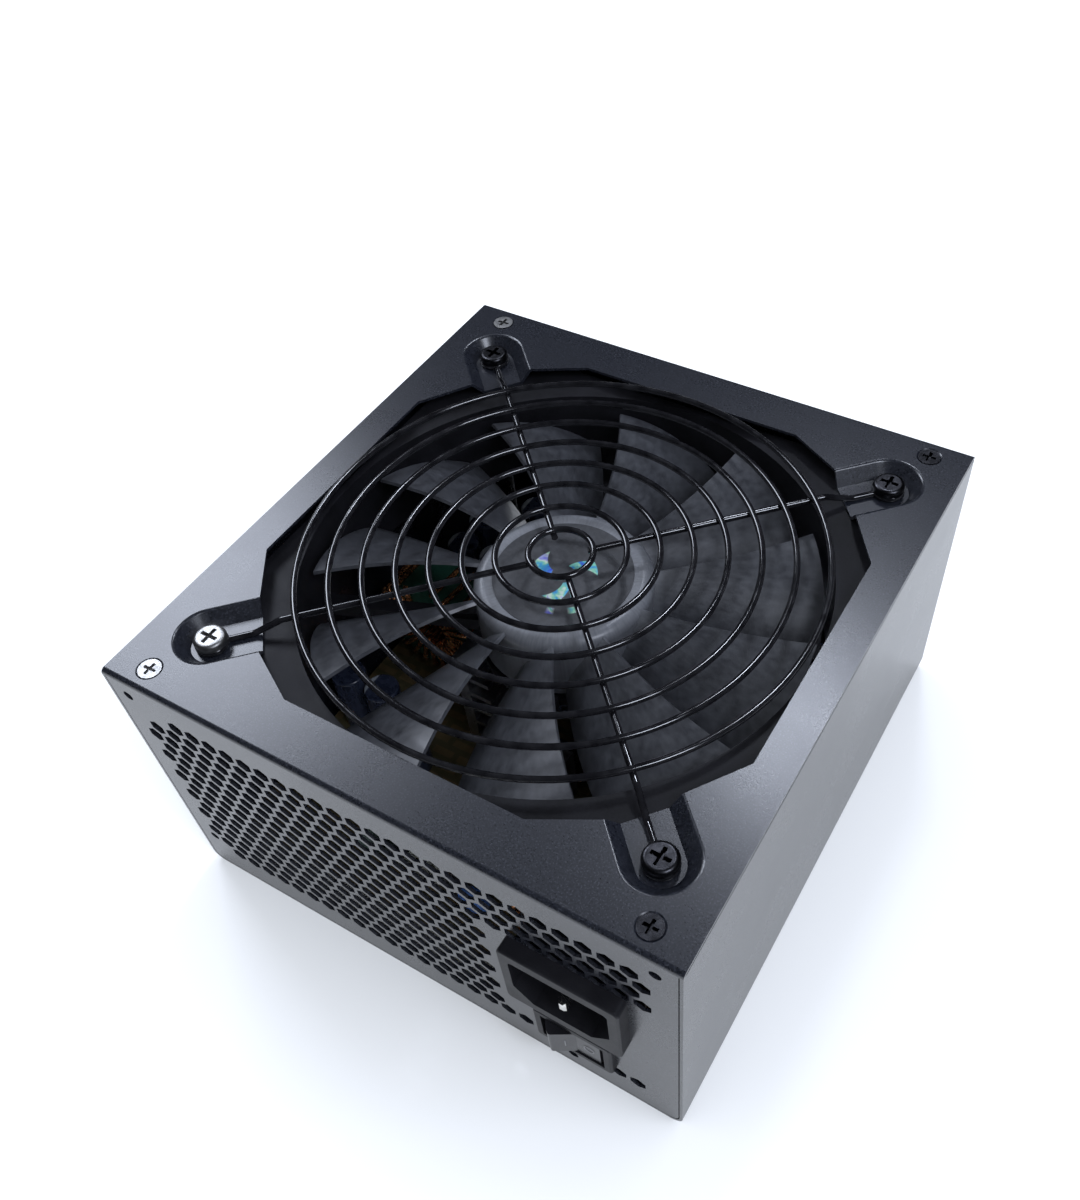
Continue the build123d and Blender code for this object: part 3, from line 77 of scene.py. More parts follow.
class Finish:
    """One procedural material. Sizes of its textures are given in millimetres."""

    def __init__(self, name, color, roughness, metallic=0.0, **sockets):
        self.material = bpy.data.materials.new(name)
        self.material.use_nodes = True
        self.material.diffuse_color = (*color, 1.0)
        self.tree = self.material.node_tree
        self.shader = self.tree.nodes["Principled BSDF"]
        self.set("Base Color", (*color, 1.0))
        self.set("Roughness", roughness)
        self.set("Metallic", metallic)
        for socket, value in sockets.items():
            self.set(socket.replace("_", " "), value)

    def set(self, socket, value):
        self.feed(self.shader.inputs[socket], value)

    def feed(self, socket, value):
        if isinstance(value, bpy.types.NodeSocket):
            self.tree.links.new(value, socket)
        else:
            socket.default_value = value

    def node(self, kind, *values, **settings):
        """Adds a node. Values go to its inputs in order, and None leaves an input as it is."""
        made = self.tree.nodes.new("ShaderNode" + kind)
        for setting, value in settings.items():
            setattr(made, setting, value)
        for socket, value in zip(made.inputs, values):
            if value is not None:
                self.feed(socket, value)
        return made

    def place(self, stretch=(1.0, 1.0, 1.0)):
        """Position on the piece in the row frame, multiplied along each axis by stretch."""
        spot = self.node("TexCoord").outputs["Object"]
        return self.node("Mapping", spot, None, None, stretch).outputs[0]

    def axes(self):
        """Position on the piece as three separate outputs."""
        return self.node("SeparateXYZ", self.place()).outputs

    def grain(self, size, detail=2.0, stretch=(1.0, 1.0, 1.0), roughness=0.5, distortion=0.0,
              at=None):
        """Cloudy noise from 0 to 1 with features of about this size."""
        made = self.node("TexNoise")
        made.inputs["Scale"].default_value = 1.0 / (size * MM)
        made.inputs["Detail"].default_value = detail
        made.inputs["Roughness"].default_value = roughness
        made.inputs["Distortion"].default_value = distortion
        self.feed(made.inputs["Vector"], at if at is not None else self.place(stretch))
        return made.outputs[0]

    def cells(self, size, feature="F1", stretch=(1.0, 1.0, 1.0)):
        """Distance inside a pattern of cells of about this size."""
        made = self.node("TexVoronoi", feature=feature)
        made.inputs["Scale"].default_value = 1.0 / (size * MM)
        self.feed(made.inputs["Vector"], self.place(stretch))
        return made.outputs["Distance"]

    def math(self, operation, first, second=0.0, third=0.0):
        return self.node("Math", first, second, third, operation=operation).outputs[0]

    def span(self, value, low, high, to_low=0.0, to_high=1.0):
        """Maps value from low..high to to_low..to_high, held at both ends."""
        return self.node("MapRange", value, low, high, to_low, to_high).outputs[0]

    def blend(self, factor, first, second):
        """Colour between first and second."""
        made = self.node("Mix", data_type="RGBA")
        self.feed(made.inputs["Factor"], factor)
        for socket, color in (("A", first), ("B", second)):
            target = [one for one in made.inputs if one.name == socket and one.type == "RGBA"][0]
            self.feed(target, color if isinstance(color, bpy.types.NodeSocket) else (*color, 1.0))
        return [one for one in made.outputs if one.type == "RGBA"][0]

    def ramp(self, value, stops):
        """Colour along a list of (place, colour) stops."""
        made = self.node("ValToRGB", value)
        elements = made.color_ramp.elements
        while len(elements) < len(stops):
            elements.new(0.5)
        for element, (place, color) in zip(elements, stops):
            element.position = place
            element.color = (*color, 1.0)
        return made.outputs[0]

    def bump(self, *layers):
        """Stacks bumps, each (height, depth in millimetres), and feeds the shader's normal."""
        normal = None
        for height, depth in layers:
            made = self.node("Bump")
            made.inputs["Strength"].default_value = 1.0
            made.inputs["Distance"].default_value = depth * MM
            self.feed(made.inputs["Height"], height)
            if normal is not None:
                self.feed(made.inputs["Normal"], normal)
            normal = made.outputs[0]
        self.set("Normal", normal)
        return self.material

    def polar(self, centre):
        """Angle from 0 to 1 and radius in metres about an upright axis."""
        x, y, _ = self.axes()
        x = self.math("SUBTRACT", x, centre.x)
        y = self.math("SUBTRACT", y, centre.y)
        turn = self.math("DIVIDE", self.math("ARCTAN2", y, x), 2 * pi)
        squares = self.math("ADD", self.math("MULTIPLY", x, x), self.math("MULTIPLY", y, y))
        return self.math("ADD", turn, 0.5), self.math("SQRT", squares)

    def edge_wear_and_highlight(self, low, high, reach):
        """1 on a box's outer edges, falling to 0 at this distance from them, broken by noise."""
        gaps = []
        for axis, place in enumerate(self.axes()):
            middle = (low[axis] + high[axis]) / 2
            half = (high[axis] - low[axis]) / 2
            away = self.math("ABSOLUTE", self.math("SUBTRACT", place, middle))
            gaps.append(self.math("SUBTRACT", half, away))
        smaller = self.math("MINIMUM", gaps[0], gaps[1])
        larger = self.math("MAXIMUM", gaps[0], gaps[1])
        second = self.math("MAXIMUM", smaller, self.math("MINIMUM", larger, gaps[2]))
        near = self.span(second, 0.0, reach * MM, 1.0, 0.0)
        return self.math("MULTIPLY", near, self.span(self.grain(3.0, 4.0), 0.5, 0.68))


# ---------------------------------------------------------------- finishes


def powder_coat():
    """Black powder coat: fine grain over slight orange peel, lighter on the case's edges as partly
    rubbed wear and partly a painted highlight.
    """
    finish = Finish("powder_coat", (0.015, 0.016, 0.02), 0.4, Specular_IOR_Level=0.75)
    speck = finish.grain(0.5, 2.0, roughness=0.6)
    cloud = finish.grain(14.0, 3.0)
    peel = finish.grain(1.9, 1.0)
    sparkle = finish.span(finish.grain(0.36, 0.0), 0.62, 0.74)
    base = finish.ramp(speck, [(0.35, (0.005, 0.006, 0.009)), (0.65, (0.012, 0.0135, 0.02))])
    base = finish.blend(finish.math("MULTIPLY", sparkle, 0.12), base, (0.16, 0.17, 0.21))
    # The case's edges are painted lighter: partly rubbed wear, partly a painted highlight along the
    # bends.
    low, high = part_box("fan_cover")
    wear_and_highlight = finish.edge_wear_and_highlight((low.x, low.y, 0.0), high, 0.6)
    finish.set("Base Color", finish.blend(wear_and_highlight, base, (0.04, 0.04, 0.048)))
    mottle = finish.math(
        "ADD", finish.math("MULTIPLY", cloud, 0.5), finish.math("MULTIPLY", speck, 0.5))
    finish.set("Roughness", finish.span(mottle, 0.3, 0.7, 0.265, 0.295))
    return finish.bump((peel, 0.005), (speck, 0.006))


def lacquered_wire():
    """Gloss black lacquer on welded wire, slightly uneven, with thicker dull patches."""
    finish = Finish(
        "lacquered_wire", (0.012, 0.012, 0.014), 0.16, Coat_Weight=0.6, Coat_Roughness=0.06)
    run = finish.grain(3.5, 3.0)
    speck = finish.grain(0.5, 2.0)
    stops = [(0.35, (0.004, 0.004, 0.005)), (0.75, (0.011, 0.011, 0.013))]
    finish.set("Base Color", finish.ramp(run, stops))
    finish.set("Roughness", finish.span(run, 0.3, 0.75, 0.1, 0.2))
    return finish.bump((run, 0.02), (speck, 0.003))


def moulded(name, dark, light, gloss, grain_size=0.5, depth=0.012, **sockets):
    """Injection moulded plastic: spark-eroded grain, soft flow clouds and uneven gloss."""
    finish = Finish(name, light, gloss, **sockets)
    cloud = finish.grain(11.0, 3.0, distortion=0.6)
    fine = finish.grain(grain_size, 2.0, roughness=0.65)
    pits = finish.cells(grain_size * 1.6)
    mixed = finish.math(
        "ADD", finish.math("MULTIPLY", cloud, 0.65), finish.math("MULTIPLY", fine, 0.35))
    finish.set("Base Color", finish.ramp(mixed, [(0.35, dark), (0.68, light)]))
    finish.set("Roughness", finish.span(mixed, 0.3, 0.7, gloss - 0.07, gloss + 0.09))
    return finish.bump((cloud, 0.02), (pits, depth * 0.5), (fine, depth * 0.5))


def fan_blade_plastic():
    """Satin black blades with faint flow lines that run out from the hub, and a hub painted paler:
    dust, with a painted sheen.
    """
    finish = Finish("fan_blade_plastic", (0.02, 0.021, 0.025), 0.33)
    turn, radius = finish.polar(FAN_AXIS)
    flow_place = finish.node(
        "CombineXYZ", finish.math("MULTIPLY", turn, 0.5), finish.math("MULTIPLY", radius, 0.8))
    flow = finish.grain(2.2, 4.0, at=flow_place.outputs[0])
    fine = finish.grain(0.45, 2.0)
    cloud = finish.grain(9.0, 2.0)
    mixed = finish.math(
        "ADD", finish.math("MULTIPLY", flow, 0.6), finish.math("MULTIPLY", cloud, 0.4))
    blade = finish.ramp(mixed, [(0.35, (0.024, 0.025, 0.03)), (0.7, (0.05, 0.053, 0.062))])
    # The hub's paler colour is dust with a painted sheen.
    hub = finish.ramp(mixed, [(0.35, (0.1, 0.105, 0.12)), (0.7, (0.16, 0.168, 0.19))])
    on_hub = finish.span(radius, 20.0 * MM, 25.0 * MM, 1.0, 0.0)
    finish.set("Base Color", finish.blend(on_hub, blade, hub))
    finish.set("Roughness", finish.span(mixed, 0.35, 0.65, 0.28, 0.4))
    return finish.bump((flow, 0.008), (fine, 0.003))


def foil_sticker():
    """Dark satin round label with three abstract swooshes and two dashes of rainbow foil."""
    finish = Finish("foil_sticker", (0.05, 0.052, 0.06), 0.45)
    turn, radius = finish.polar(FAN_AXIS)

    def ring(inner, outer):
        return finish.math("MULTIPLY", finish.span(radius, inner * MM, (inner + 0.3) * MM),
                           finish.span(radius, (outer - 0.3) * MM, outer * MM, 1.0, 0.0))

    def arc(start, end, value):
        return finish.math("MULTIPLY", finish.span(value, start, start + 0.02),
                           finish.span(value, end - 0.02, end, 1.0, 0.0))

    swirl = finish.math(
        "ADD", finish.math("MULTIPLY", turn, 3.0), finish.math("MULTIPLY", radius, 55.0))
    swoosh = finish.math("MULTIPLY", ring(2.8, 8.6), arc(0.16, 0.44, finish.math("FRACT", swirl)))
    dash_arcs = finish.math("ADD", arc(0.28, 0.31, turn), arc(0.35, 0.39, turn))
    dashes = finish.math("MULTIPLY", ring(11.0, 13.2), dash_arcs)
    foil = finish.math("MAXIMUM", swoosh, dashes)
    shimmer = finish.grain(4.0, 3.0, distortion=1.2)
    drift = finish.math(
        "ADD", finish.math("MULTIPLY", shimmer, 2.0), finish.math("MULTIPLY", radius, 60.0))
    hue = finish.math("FRACT", drift)
    rainbow = finish.ramp(hue, [
        (0.0, (0.05, 0.08, 0.6)), (0.3, (0.06, 0.35, 0.6)), (0.5, (0.25, 0.6, 0.42)),
        (0.65, (0.6, 0.7, 0.62)), (0.8, (0.2, 0.2, 0.7)), (1.0, (0.05, 0.08, 0.6))])
    vinyl = finish.ramp(
        finish.grain(1.2, 3.0), [(0.3, (0.02, 0.021, 0.025)), (0.7, (0.036, 0.038, 0.045))])
    finish.set("Base Color", finish.blend(foil, vinyl, rainbow))
    finish.set("Metallic", finish.math("MULTIPLY", foil, 0.5))
    finish.set("Roughness", finish.span(foil, 0.0, 1.0, 0.42, 0.3))
    return finish.bump((finish.grain(0.6, 2.0), 0.006), (foil, 0.02))


def plated(name, dark, light, gloss, scratch_size=0.35):
    """Bright plated metal with fine scratches and cloudy patches."""
    finish = Finish(name, light, gloss, metallic=1.0)
    scratch = finish.grain(scratch_size, 3.0, stretch=(1.0, 6.0, 2.0))
    cloud = finish.grain(2.4, 3.0)
    finish.set("Base Color", finish.ramp(cloud, [(0.3, dark), (0.65, light)]))
    finish.set("Roughness", finish.span(scratch, 0.3, 0.7, gloss - 0.08, gloss + 0.14))
    return finish.bump((scratch, 0.008), (cloud, 0.02))


def enamelled_copper():
    """Copper wire under clear enamel: redder and darker in patches."""
    finish = Finish(
        "enamelled_copper", (0.72, 0.3, 0.12), 0.22, metallic=0.9, Coat_Weight=0.8,
        Coat_Roughness=0.08)
    cloud = finish.grain(2.2, 3.0)
    stops = [(0.3, (0.5, 0.16, 0.05)), (0.7, (0.86, 0.42, 0.18))]
    finish.set("Base Color", finish.ramp(cloud, stops))
    finish.set("Roughness", finish.span(cloud, 0.3, 0.7, 0.16, 0.34))
    return finish.bump((finish.grain(0.5, 2.0), 0.01))


def circuit_laminate():
    """Tan laminate with a fine weave, clouded with stains and crossed by dark green tracks. Its tan
    is painted much darker, as painted shade inside the case.
    """
    finish = Finish("circuit_laminate", (0.3, 0.21, 0.09), 0.45)
    weave = finish.cells(0.8, stretch=(1.0, 1.0, 0.2))
    brick = finish.node("TexBrick", finish.place())
    brick.inputs["Scale"].default_value = 60.0
    brick.inputs["Mortar Size"].default_value = 0.06
    brick.inputs["Mortar Smooth"].default_value = 0.1
    track = brick.outputs["Fac"]
    stain = finish.grain(7.0, 4.0)
    # Painted shade: these tans are far darker than bare laminate, for the shade inside the case.
    ground = finish.ramp(stain, [(0.3, (0.07, 0.047, 0.02)), (0.7, (0.12, 0.087, 0.04))])
    cover = finish.math("MULTIPLY", track, 0.6)
    finish.set("Base Color", finish.blend(cover, ground, (0.035, 0.04, 0.018)))
    finish.set("Roughness", finish.span(stain, 0.3, 0.7, 0.35, 0.6))
    return finish.bump((weave, 0.02), (track, 0.04))


def solder_mask():
    """Green solder mask over copper tracks on the fan's own small board."""
    finish = Finish("solder_mask", (0.02, 0.14, 0.06), 0.3)
    track = finish.span(finish.cells(2.6, "DISTANCE_TO_EDGE"), 0.06, 0.12)
    finish.set("Base Color", finish.blend(track, (0.015, 0.07, 0.035), (0.03, 0.2, 0.08)))
    finish.set("Roughness", finish.span(finish.grain(1.0, 2.0), 0.3, 0.7, 0.22, 0.4))
    return finish.bump((track, 0.03))


def extruded_aluminium():
    """Extruded heatsink: fine die lines along its length and a dull oxide bloom."""
    finish = Finish("extruded_aluminium", (0.6, 0.61, 0.63), 0.34, metallic=1.0)
    lines = finish.grain(0.35, 3.0, stretch=(1.0, 0.02, 1.0))
    bloom = finish.grain(9.0, 4.0)
    stops = [(0.3, (0.45, 0.46, 0.48)), (0.7, (0.68, 0.69, 0.71))]
    finish.set("Base Color", finish.ramp(bloom, stops))
    finish.set("Roughness", finish.span(lines, 0.3, 0.7, 0.25, 0.46))
    return finish.bump((lines, 0.02))


def sintered(name, dark, light, gloss):
    """Pressed and fired powder: matt, with pores."""
    finish = Finish(name, light, gloss)
    pores = finish.span(finish.cells(0.9), 0.05, 0.3)
    cloud = finish.grain(4.0, 4.0)
    ground = finish.ramp(cloud, [(0.3, dark), (0.7, light)])
    finish.set("Base Color", finish.blend(pores, dark, ground))
    finish.set("Roughness", finish.span(cloud, 0.3, 0.7, gloss - 0.1, gloss + 0.1))
    return finish.bump((pores, 0.03), (cloud, 0.02))


def winding_tape():
    """Blue-black polyester tape in level turns, each edge a small step."""
    finish = Finish("winding_tape", (0.04, 0.05, 0.08), 0.25, Coat_Weight=0.4, Coat_Roughness=0.1)
    height = finish.axes()[2]
    wrap = finish.math("FRACT", finish.math("DIVIDE", height, 3.4 * MM))
    step = finish.span(wrap, 0.0, 0.08)
    crease = finish.grain(3.0, 4.0, stretch=(1.0, 1.0, 3.0), distortion=0.8)
    base = finish.ramp(crease, [(0.3, (0.02, 0.026, 0.045)), (0.7, (0.05, 0.062, 0.1))])
    finish.set("Base Color", finish.blend(step, (0.01, 0.012, 0.02), base))
    finish.set("Roughness", finish.span(crease, 0.3, 0.7, 0.18, 0.36))
    return finish.bump((step, 0.05), (crease, 0.03))


def laminated_steel():
    """Stack of stamped steel sheets: thin dark lines between the layers."""
    finish = Finish("laminated_steel", (0.32, 0.31, 0.31), 0.4, metallic=0.9)
    height = finish.axes()[2]
    layer = finish.span(finish.math("FRACT", finish.math("DIVIDE", height, 0.5 * MM)), 0.0, 0.25)
    stain = finish.grain(2.0, 3.0)
    base = finish.ramp(stain, [(0.3, (0.22, 0.21, 0.2)), (0.7, (0.42, 0.41, 0.4))])
    finish.set("Base Color", finish.blend(layer, (0.06, 0.055, 0.05), base))
    finish.set("Roughness", finish.span(stain, 0.3, 0.7, 0.3, 0.5))
    return finish.bump((layer, 0.03))


def shrink_sleeve():
    """Capacitor sleeve: dark shrink film with lighter stripes down the can and soft wrinkles."""
    finish = Finish(
        "shrink_sleeve", (0.02, 0.025, 0.045), 0.28, Coat_Weight=0.3, Coat_Roughness=0.1)
    x = finish.axes()[0]
    wrinkle = finish.grain(2.5, 4.0, stretch=(1.0, 1.0, 0.3))
    wave = finish.math("ABSOLUTE", finish.math("SINE", finish.math("MULTIPLY", x, 260.0)))
    stripe = finish.span(wave, 0.93, 0.96)
    base = finish.ramp(wrinkle, [(0.3, (0.012, 0.016, 0.03)), (0.7, (0.03, 0.038, 0.07))])
    cover = finish.math("MULTIPLY", stripe, 0.7)
    finish.set("Base Color", finish.blend(cover, base, (0.35, 0.38, 0.42)))
    finish.set("Roughness", finish.span(wrinkle, 0.3, 0.7, 0.2, 0.38))
    return finish.bump((wrinkle, 0.03))


def clear_film():
    """Milky insulation film with soft creases."""
    finish = Finish("clear_film", (0.75, 0.74, 0.68), 0.25, Transmission_Weight=0.5)
    crease = finish.grain(12.0, 4.0, distortion=1.0)
    stops = [(0.3, (0.6, 0.58, 0.5)), (0.7, (0.85, 0.84, 0.8))]
    finish.set("Base Color", finish.ramp(crease, stops))
    finish.set("Roughness", finish.span(crease, 0.3, 0.7, 0.15, 0.4))
    return finish.bump((crease, 0.1))


def fuse_glass():
    """Clear glass tube with faint drawing lines."""
    finish = Finish("fuse_glass", (0.9, 0.93, 0.93), 0.05, Transmission_Weight=0.95, IOR=1.5)
    lines = finish.grain(0.6, 2.0, stretch=(0.05, 1.0, 1.0))
    stops = [(0.3, (0.84, 0.9, 0.88)), (0.7, (0.96, 0.97, 0.97))]
    finish.set("Base Color", finish.ramp(lines, stops))
    finish.set("Roughness", finish.span(lines, 0.3, 0.7, 0.03, 0.09))
    return finish.bump((lines, 0.01))


FINISHES = {
    "powder_coat": powder_coat(),
    "lacquered_wire": lacquered_wire(),
    "fan_blade": fan_blade_plastic(),
    "foil": foil_sticker(),
    "fan_frame": moulded(
        "fan_frame_plastic", (0.005, 0.005, 0.006), (0.011, 0.011, 0.014), 0.42,
        Specular_IOR_Level=0.12),
    "inlet": moulded(
        "inlet_plastic", (0.006, 0.006, 0.008), (0.013, 0.013, 0.016), 0.42, 0.35, 0.006,
        Specular_IOR_Level=0.15),
    "rocker": moulded(
        "rocker_plastic", (0.006, 0.006, 0.008), (0.014, 0.014, 0.017), 0.3, 0.3, 0.005),
    "rubber": moulded("grommet_rubber", (0.012, 0.012, 0.012), (0.03, 0.03, 0.03), 0.6, 0.8, 0.02),
    "epoxy": moulded("device_epoxy", (0.014, 0.014, 0.015), (0.03, 0.03, 0.032), 0.5, 0.4, 0.02),
    # Painted shade: the film boxes' yellow is darkened for the shade inside the case.
    "film_box": moulded("film_box", (0.12, 0.07, 0.016), (0.2, 0.12, 0.03), 0.3, 0.6, 0.01),
    "ceramic_disc": moulded("ceramic_disc", (0.04, 0.1, 0.32), (0.09, 0.2, 0.5), 0.35, 0.8, 0.03),
    "thermistor": moulded(
        "thermistor_disc", (0.03, 0.05, 0.045), (0.07, 0.1, 0.09), 0.4, 0.8, 0.03),
    "core_coat": moulded("core_coat", (0.01, 0.04, 0.028), (0.02, 0.08, 0.055), 0.35, 0.9, 0.03),
    "zinc": plated("zinc_plate", (0.3, 0.3, 0.295), (0.48, 0.475, 0.46), 0.38),
    "nickel": plated("nickel_plate", (0.62, 0.61, 0.58), (0.9, 0.89, 0.86), 0.16),
    "ground_steel": plated("ground_steel", (0.45, 0.45, 0.46), (0.66, 0.66, 0.67), 0.22),
    "rotor_steel": plated("rotor_steel", (0.35, 0.35, 0.36), (0.52, 0.52, 0.53), 0.34),
    "black_oxide": plated("black_oxide", (0.03, 0.03, 0.033), (0.075, 0.075, 0.082), 0.3),
    "bronze": plated("sintered_bronze", (0.38, 0.24, 0.12), (0.62, 0.42, 0.22), 0.42),
    "brass": plated("turned_brass", (0.6, 0.44, 0.18), (0.82, 0.66, 0.32), 0.25),
    "copper": enamelled_copper(),
    "laminate": circuit_laminate(),
    "solder_mask": solder_mask(),
    "aluminium": extruded_aluminium(),
    "ferrite": sintered("ferrite", (0.03, 0.03, 0.033), (0.085, 0.085, 0.09), 0.55),
    "magnet": sintered("magnet", (0.025, 0.022, 0.022), (0.06, 0.055, 0.055), 0.6),
    "tape": winding_tape(),
    "stator": laminated_steel(),
    "sleeve": shrink_sleeve(),
    "clear_film": clear_film(),
    "glass": fuse_glass(),
    "mark_paint": moulded("mark_paint", (0.16, 0.16, 0.17), (0.24, 0.24, 0.25), 0.5, 0.3, 0.004),
}

NODE_FINISH = {
    "base_shell": "powder_coat", "fan_cover": "powder_coat", "cable_grommet": "rubber",
    "cover_screws_silver": "zinc", "cover_screws_black": "black_oxide",
    "fan_screw_silver": "zinc", "fan_screws_black": "black_oxide", "fan_guard": "lacquered_wire",
    "fan_frame": "fan_frame", "fan_motor_mount": "fan_frame", "fan_bearing": "bronze",
    "fan_circuit_board": "solder_mask",
    "fan_stator_core": "stator", "fan_stator_coils": "copper", "fan_impeller": "fan_blade",
    "hub_sticker": "foil", "fan_rotor_cup": "rotor_steel", "fan_magnet_ring": "magnet",
    "fan_shaft": "ground_steel", "inlet_housing": "inlet", "inlet_power_pins": "nickel",
    "inlet_earth_pin": "nickel", "switch_housing": "inlet", "switch_terminals": "nickel",
    "switch_rocker": "rocker", "insulation_sheet": "clear_film", "board_standoffs": "brass",
    "board_screws": "zinc", "main_board": "laminate", "primary_heatsink": "aluminium",
    "secondary_heatsink": "aluminium", "power_transistors": "epoxy", "bridge_rectifier": "epoxy",
    "output_rectifiers": "epoxy", "heatsink_screws": "zinc", "transformer_core": "ferrite",
    "transformer_winding": "tape", "standby_transformer_core": "ferrite",
    "standby_transformer_winding": "tape", "output_choke_core": "core_coat",
    "output_choke_winding": "copper", "pfc_choke_core": "ferrite", "pfc_choke_winding": "copper",
    "filter_choke_core": "ferrite", "filter_choke_winding": "copper", "bulk_capacitors": "sleeve",
    "output_capacitors": "sleeve", "film_capacitors": "film_box",
    "ceramic_capacitors": "ceramic_disc",
    "fuse_tube": "glass", "fuse_caps": "nickel", "inrush_thermistor": "thermistor",
    "control_board": "laminate", "control_chips": "epoxy",
}


def dress(piece, finish):
    piece.data.materials.clear()
    piece.data.materials.append(FINISHES[finish])


for node, finish in NODE_FINISH.items():
    dress(nodes[node], finish)


# ---------------------------------------------------------------- new pieces


def add_piece(name, bm, body, finish, replaced=()):
    """Turns a finished bmesh in the row frame into a named piece that rides a body."""
    mesh = bpy.data.meshes.new(name)
    bmesh.ops.recalc_face_normals(bm, faces=bm.faces)
    for face in bm.faces:
        face.smooth = True
    bm.to_mesh(mesh)
    bm.free()
    piece = bpy.data.objects.new(name, mesh)
    bpy.context.scene.collection.objects.link(piece)
    mesh.materials.append(FINISHES[finish])
    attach(piece, body)
    if replaced:
        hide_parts(*replaced)


def tube(bm, path, radius, sides=8, closed=False):
    """Sweeps a circle along a list of points and caps the ends of an open path."""
    rings = []
    count = len(path)
    side_way = None
    for index, point in enumerate(path):
        ahead = path[(index + 1) % count] if closed else path[min(index + 1, count - 1)]
        behind = path[index - 1] if closed or index else path[0]
        along = (ahead - behind).normalized()
        if side_way is None:
            side_way = along.orthogonal().normalized()
        side_way = (side_way - along * side_way.dot(along)).normalized()
        up_way = along.cross(side_way)
        ring = []
        for side in range(sides):
            angle = 2 * pi * side / sides
            spoke = side_way * cos(angle) + up_way * sin(angle)
            ring.append(bm.verts.new(point + radius * spoke))
        rings.append(ring)
    pairs = list(zip(rings, rings[1:]))
    if closed:
        # The last ring meets the first one at the side that lies nearest to it
        gaps = [(rings[0][0].co - vert.co).length for vert in rings[-1]]
        shift = gaps.index(min(gaps))
        pairs.append((rings[-1][shift:] + rings[-1][:shift], rings[0]))
    for near, far in pairs:
        for side in range(sides):
            bm.faces.new((near[side], near[side - 1], far[side - 1], far[side]))
    if not closed:
        bm.faces.new(rings[0])
        bm.faces.new(rings[-1])


def box_walk(half_width, half_height, corner, share):
    """Point at this share of the way around a rectangle with round corners.

    The walk starts at the bottom of its outer side, and goes up."""
    flat_width = half_width - corner
    flat_height = half_height - corner
    quarter = pi * corner / 2
    legs = [2 * flat_height, quarter, 2 * flat_width, quarter] * 2
    way = share % 1.0 * sum(legs)
    corners = [
        (flat_width, flat_height), (-flat_width, flat_height),
        (-flat_width, -flat_height), (flat_width, -flat_height)]
    for leg, length in enumerate(legs):
        if way > length:
            way -= length
            continue
        heading = leg // 2
        centre_x, centre_y = corners[heading]
        out_x, out_y = round(cos(heading * pi / 2)), round(sin(heading * pi / 2))
        if leg % 2 == 0:
            back = length - way
            return (centre_x + out_x * corner + out_y * back,
                    centre_y + out_y * corner - out_x * back)
        turn = heading * pi / 2 + way / corner
        return centre_x + corner * cos(turn), centre_y + corner * sin(turn)
    return half_width, -flat_height


COIL_GAP = 0.1 * MM
COIL_STEPS_PER_TURN = 32
COIL_FILL = 0.96
FLAT_CORE_SHARE = 0.8


def wound_coil(name, core, inner, wire, turns, spans, replaced):
    """One wire wound around a ring core in each span, in place of the separate CAD loops.

    Each span is a start and an end in degrees around the core, and COIL_FILL is the share of the
    wire's width that is drawn."""
    low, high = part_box(core)
    centre = (low + high) / 2
    size = high - low
    lies_flat = size.z < size.x * FLAT_CORE_SHARE
    first, second, axis = Vector((1, 0, 0)), Vector((0, 0, -1)), Vector((0, 1, 0))
    if lies_flat:
        first, second, axis = Vector((1, 0, 0)), Vector((0, 1, 0)), Vector((0, 0, 1))
    outer = size.x / 2
    height = size.z if lies_flat else size.y
    half_width = (outer - inner) / 2 + COIL_GAP + wire / 2
    half_height = height / 2 + COIL_GAP + wire / 2
    bm = bmesh.new()
    for start, end in spans:
        path = []
        steps = turns * COIL_STEPS_PER_TURN
        for step in range(steps + 1):
            share = step / steps
            angle = radians(start + (end - start) * share)
            outward = first * cos(angle) + second * sin(angle)
            across, along = box_walk(half_width, half_height, COIL_GAP + wire / 2, turns * share)
            path.append(centre + outward * ((inner + outer) / 2 + across) + axis * along)
        tube(bm, path, wire / 2 * COIL_FILL)
    add_piece(name, bm, "case", "copper", replaced)


wound_coil(
    "output_choke_coil", "output_choke_core", 8.0 * MM, 1.6 * MM, 24, [(-75, 255)],
    ["output_choke_winding"])
wound_coil(
    "pfc_choke_coil", "pfc_choke_core", 9.0 * MM, 1.5 * MM, 28, [(-80, 260)],
    ["pfc_choke_winding"])
wound_coil(
    "filter_choke_coil", "filter_choke_core", 6.0 * MM, 1.2 * MM, 12, [(25, 155), (205, 335)],
    ["filter_choke_winding"])

# The ridge between the rocker's halves, from its pivot. Then, for each half, the way along it and
# how far along its mark stands. All in millimetres.
ROCKER_RIDGE = Vector((0.97, -3.6, 0.0))
ON_HALF = (Vector((-0.866, -0.5, 0.0)), 2.7)
OFF_HALF = (Vector((1.0, 0.0, 0.0)), 3.3)
MARK_LINE_R = 0.16
MARK_PROUD = 0.02
BAR_REACH = 1.5
RING_R = 1.3
RING_STEPS = 40


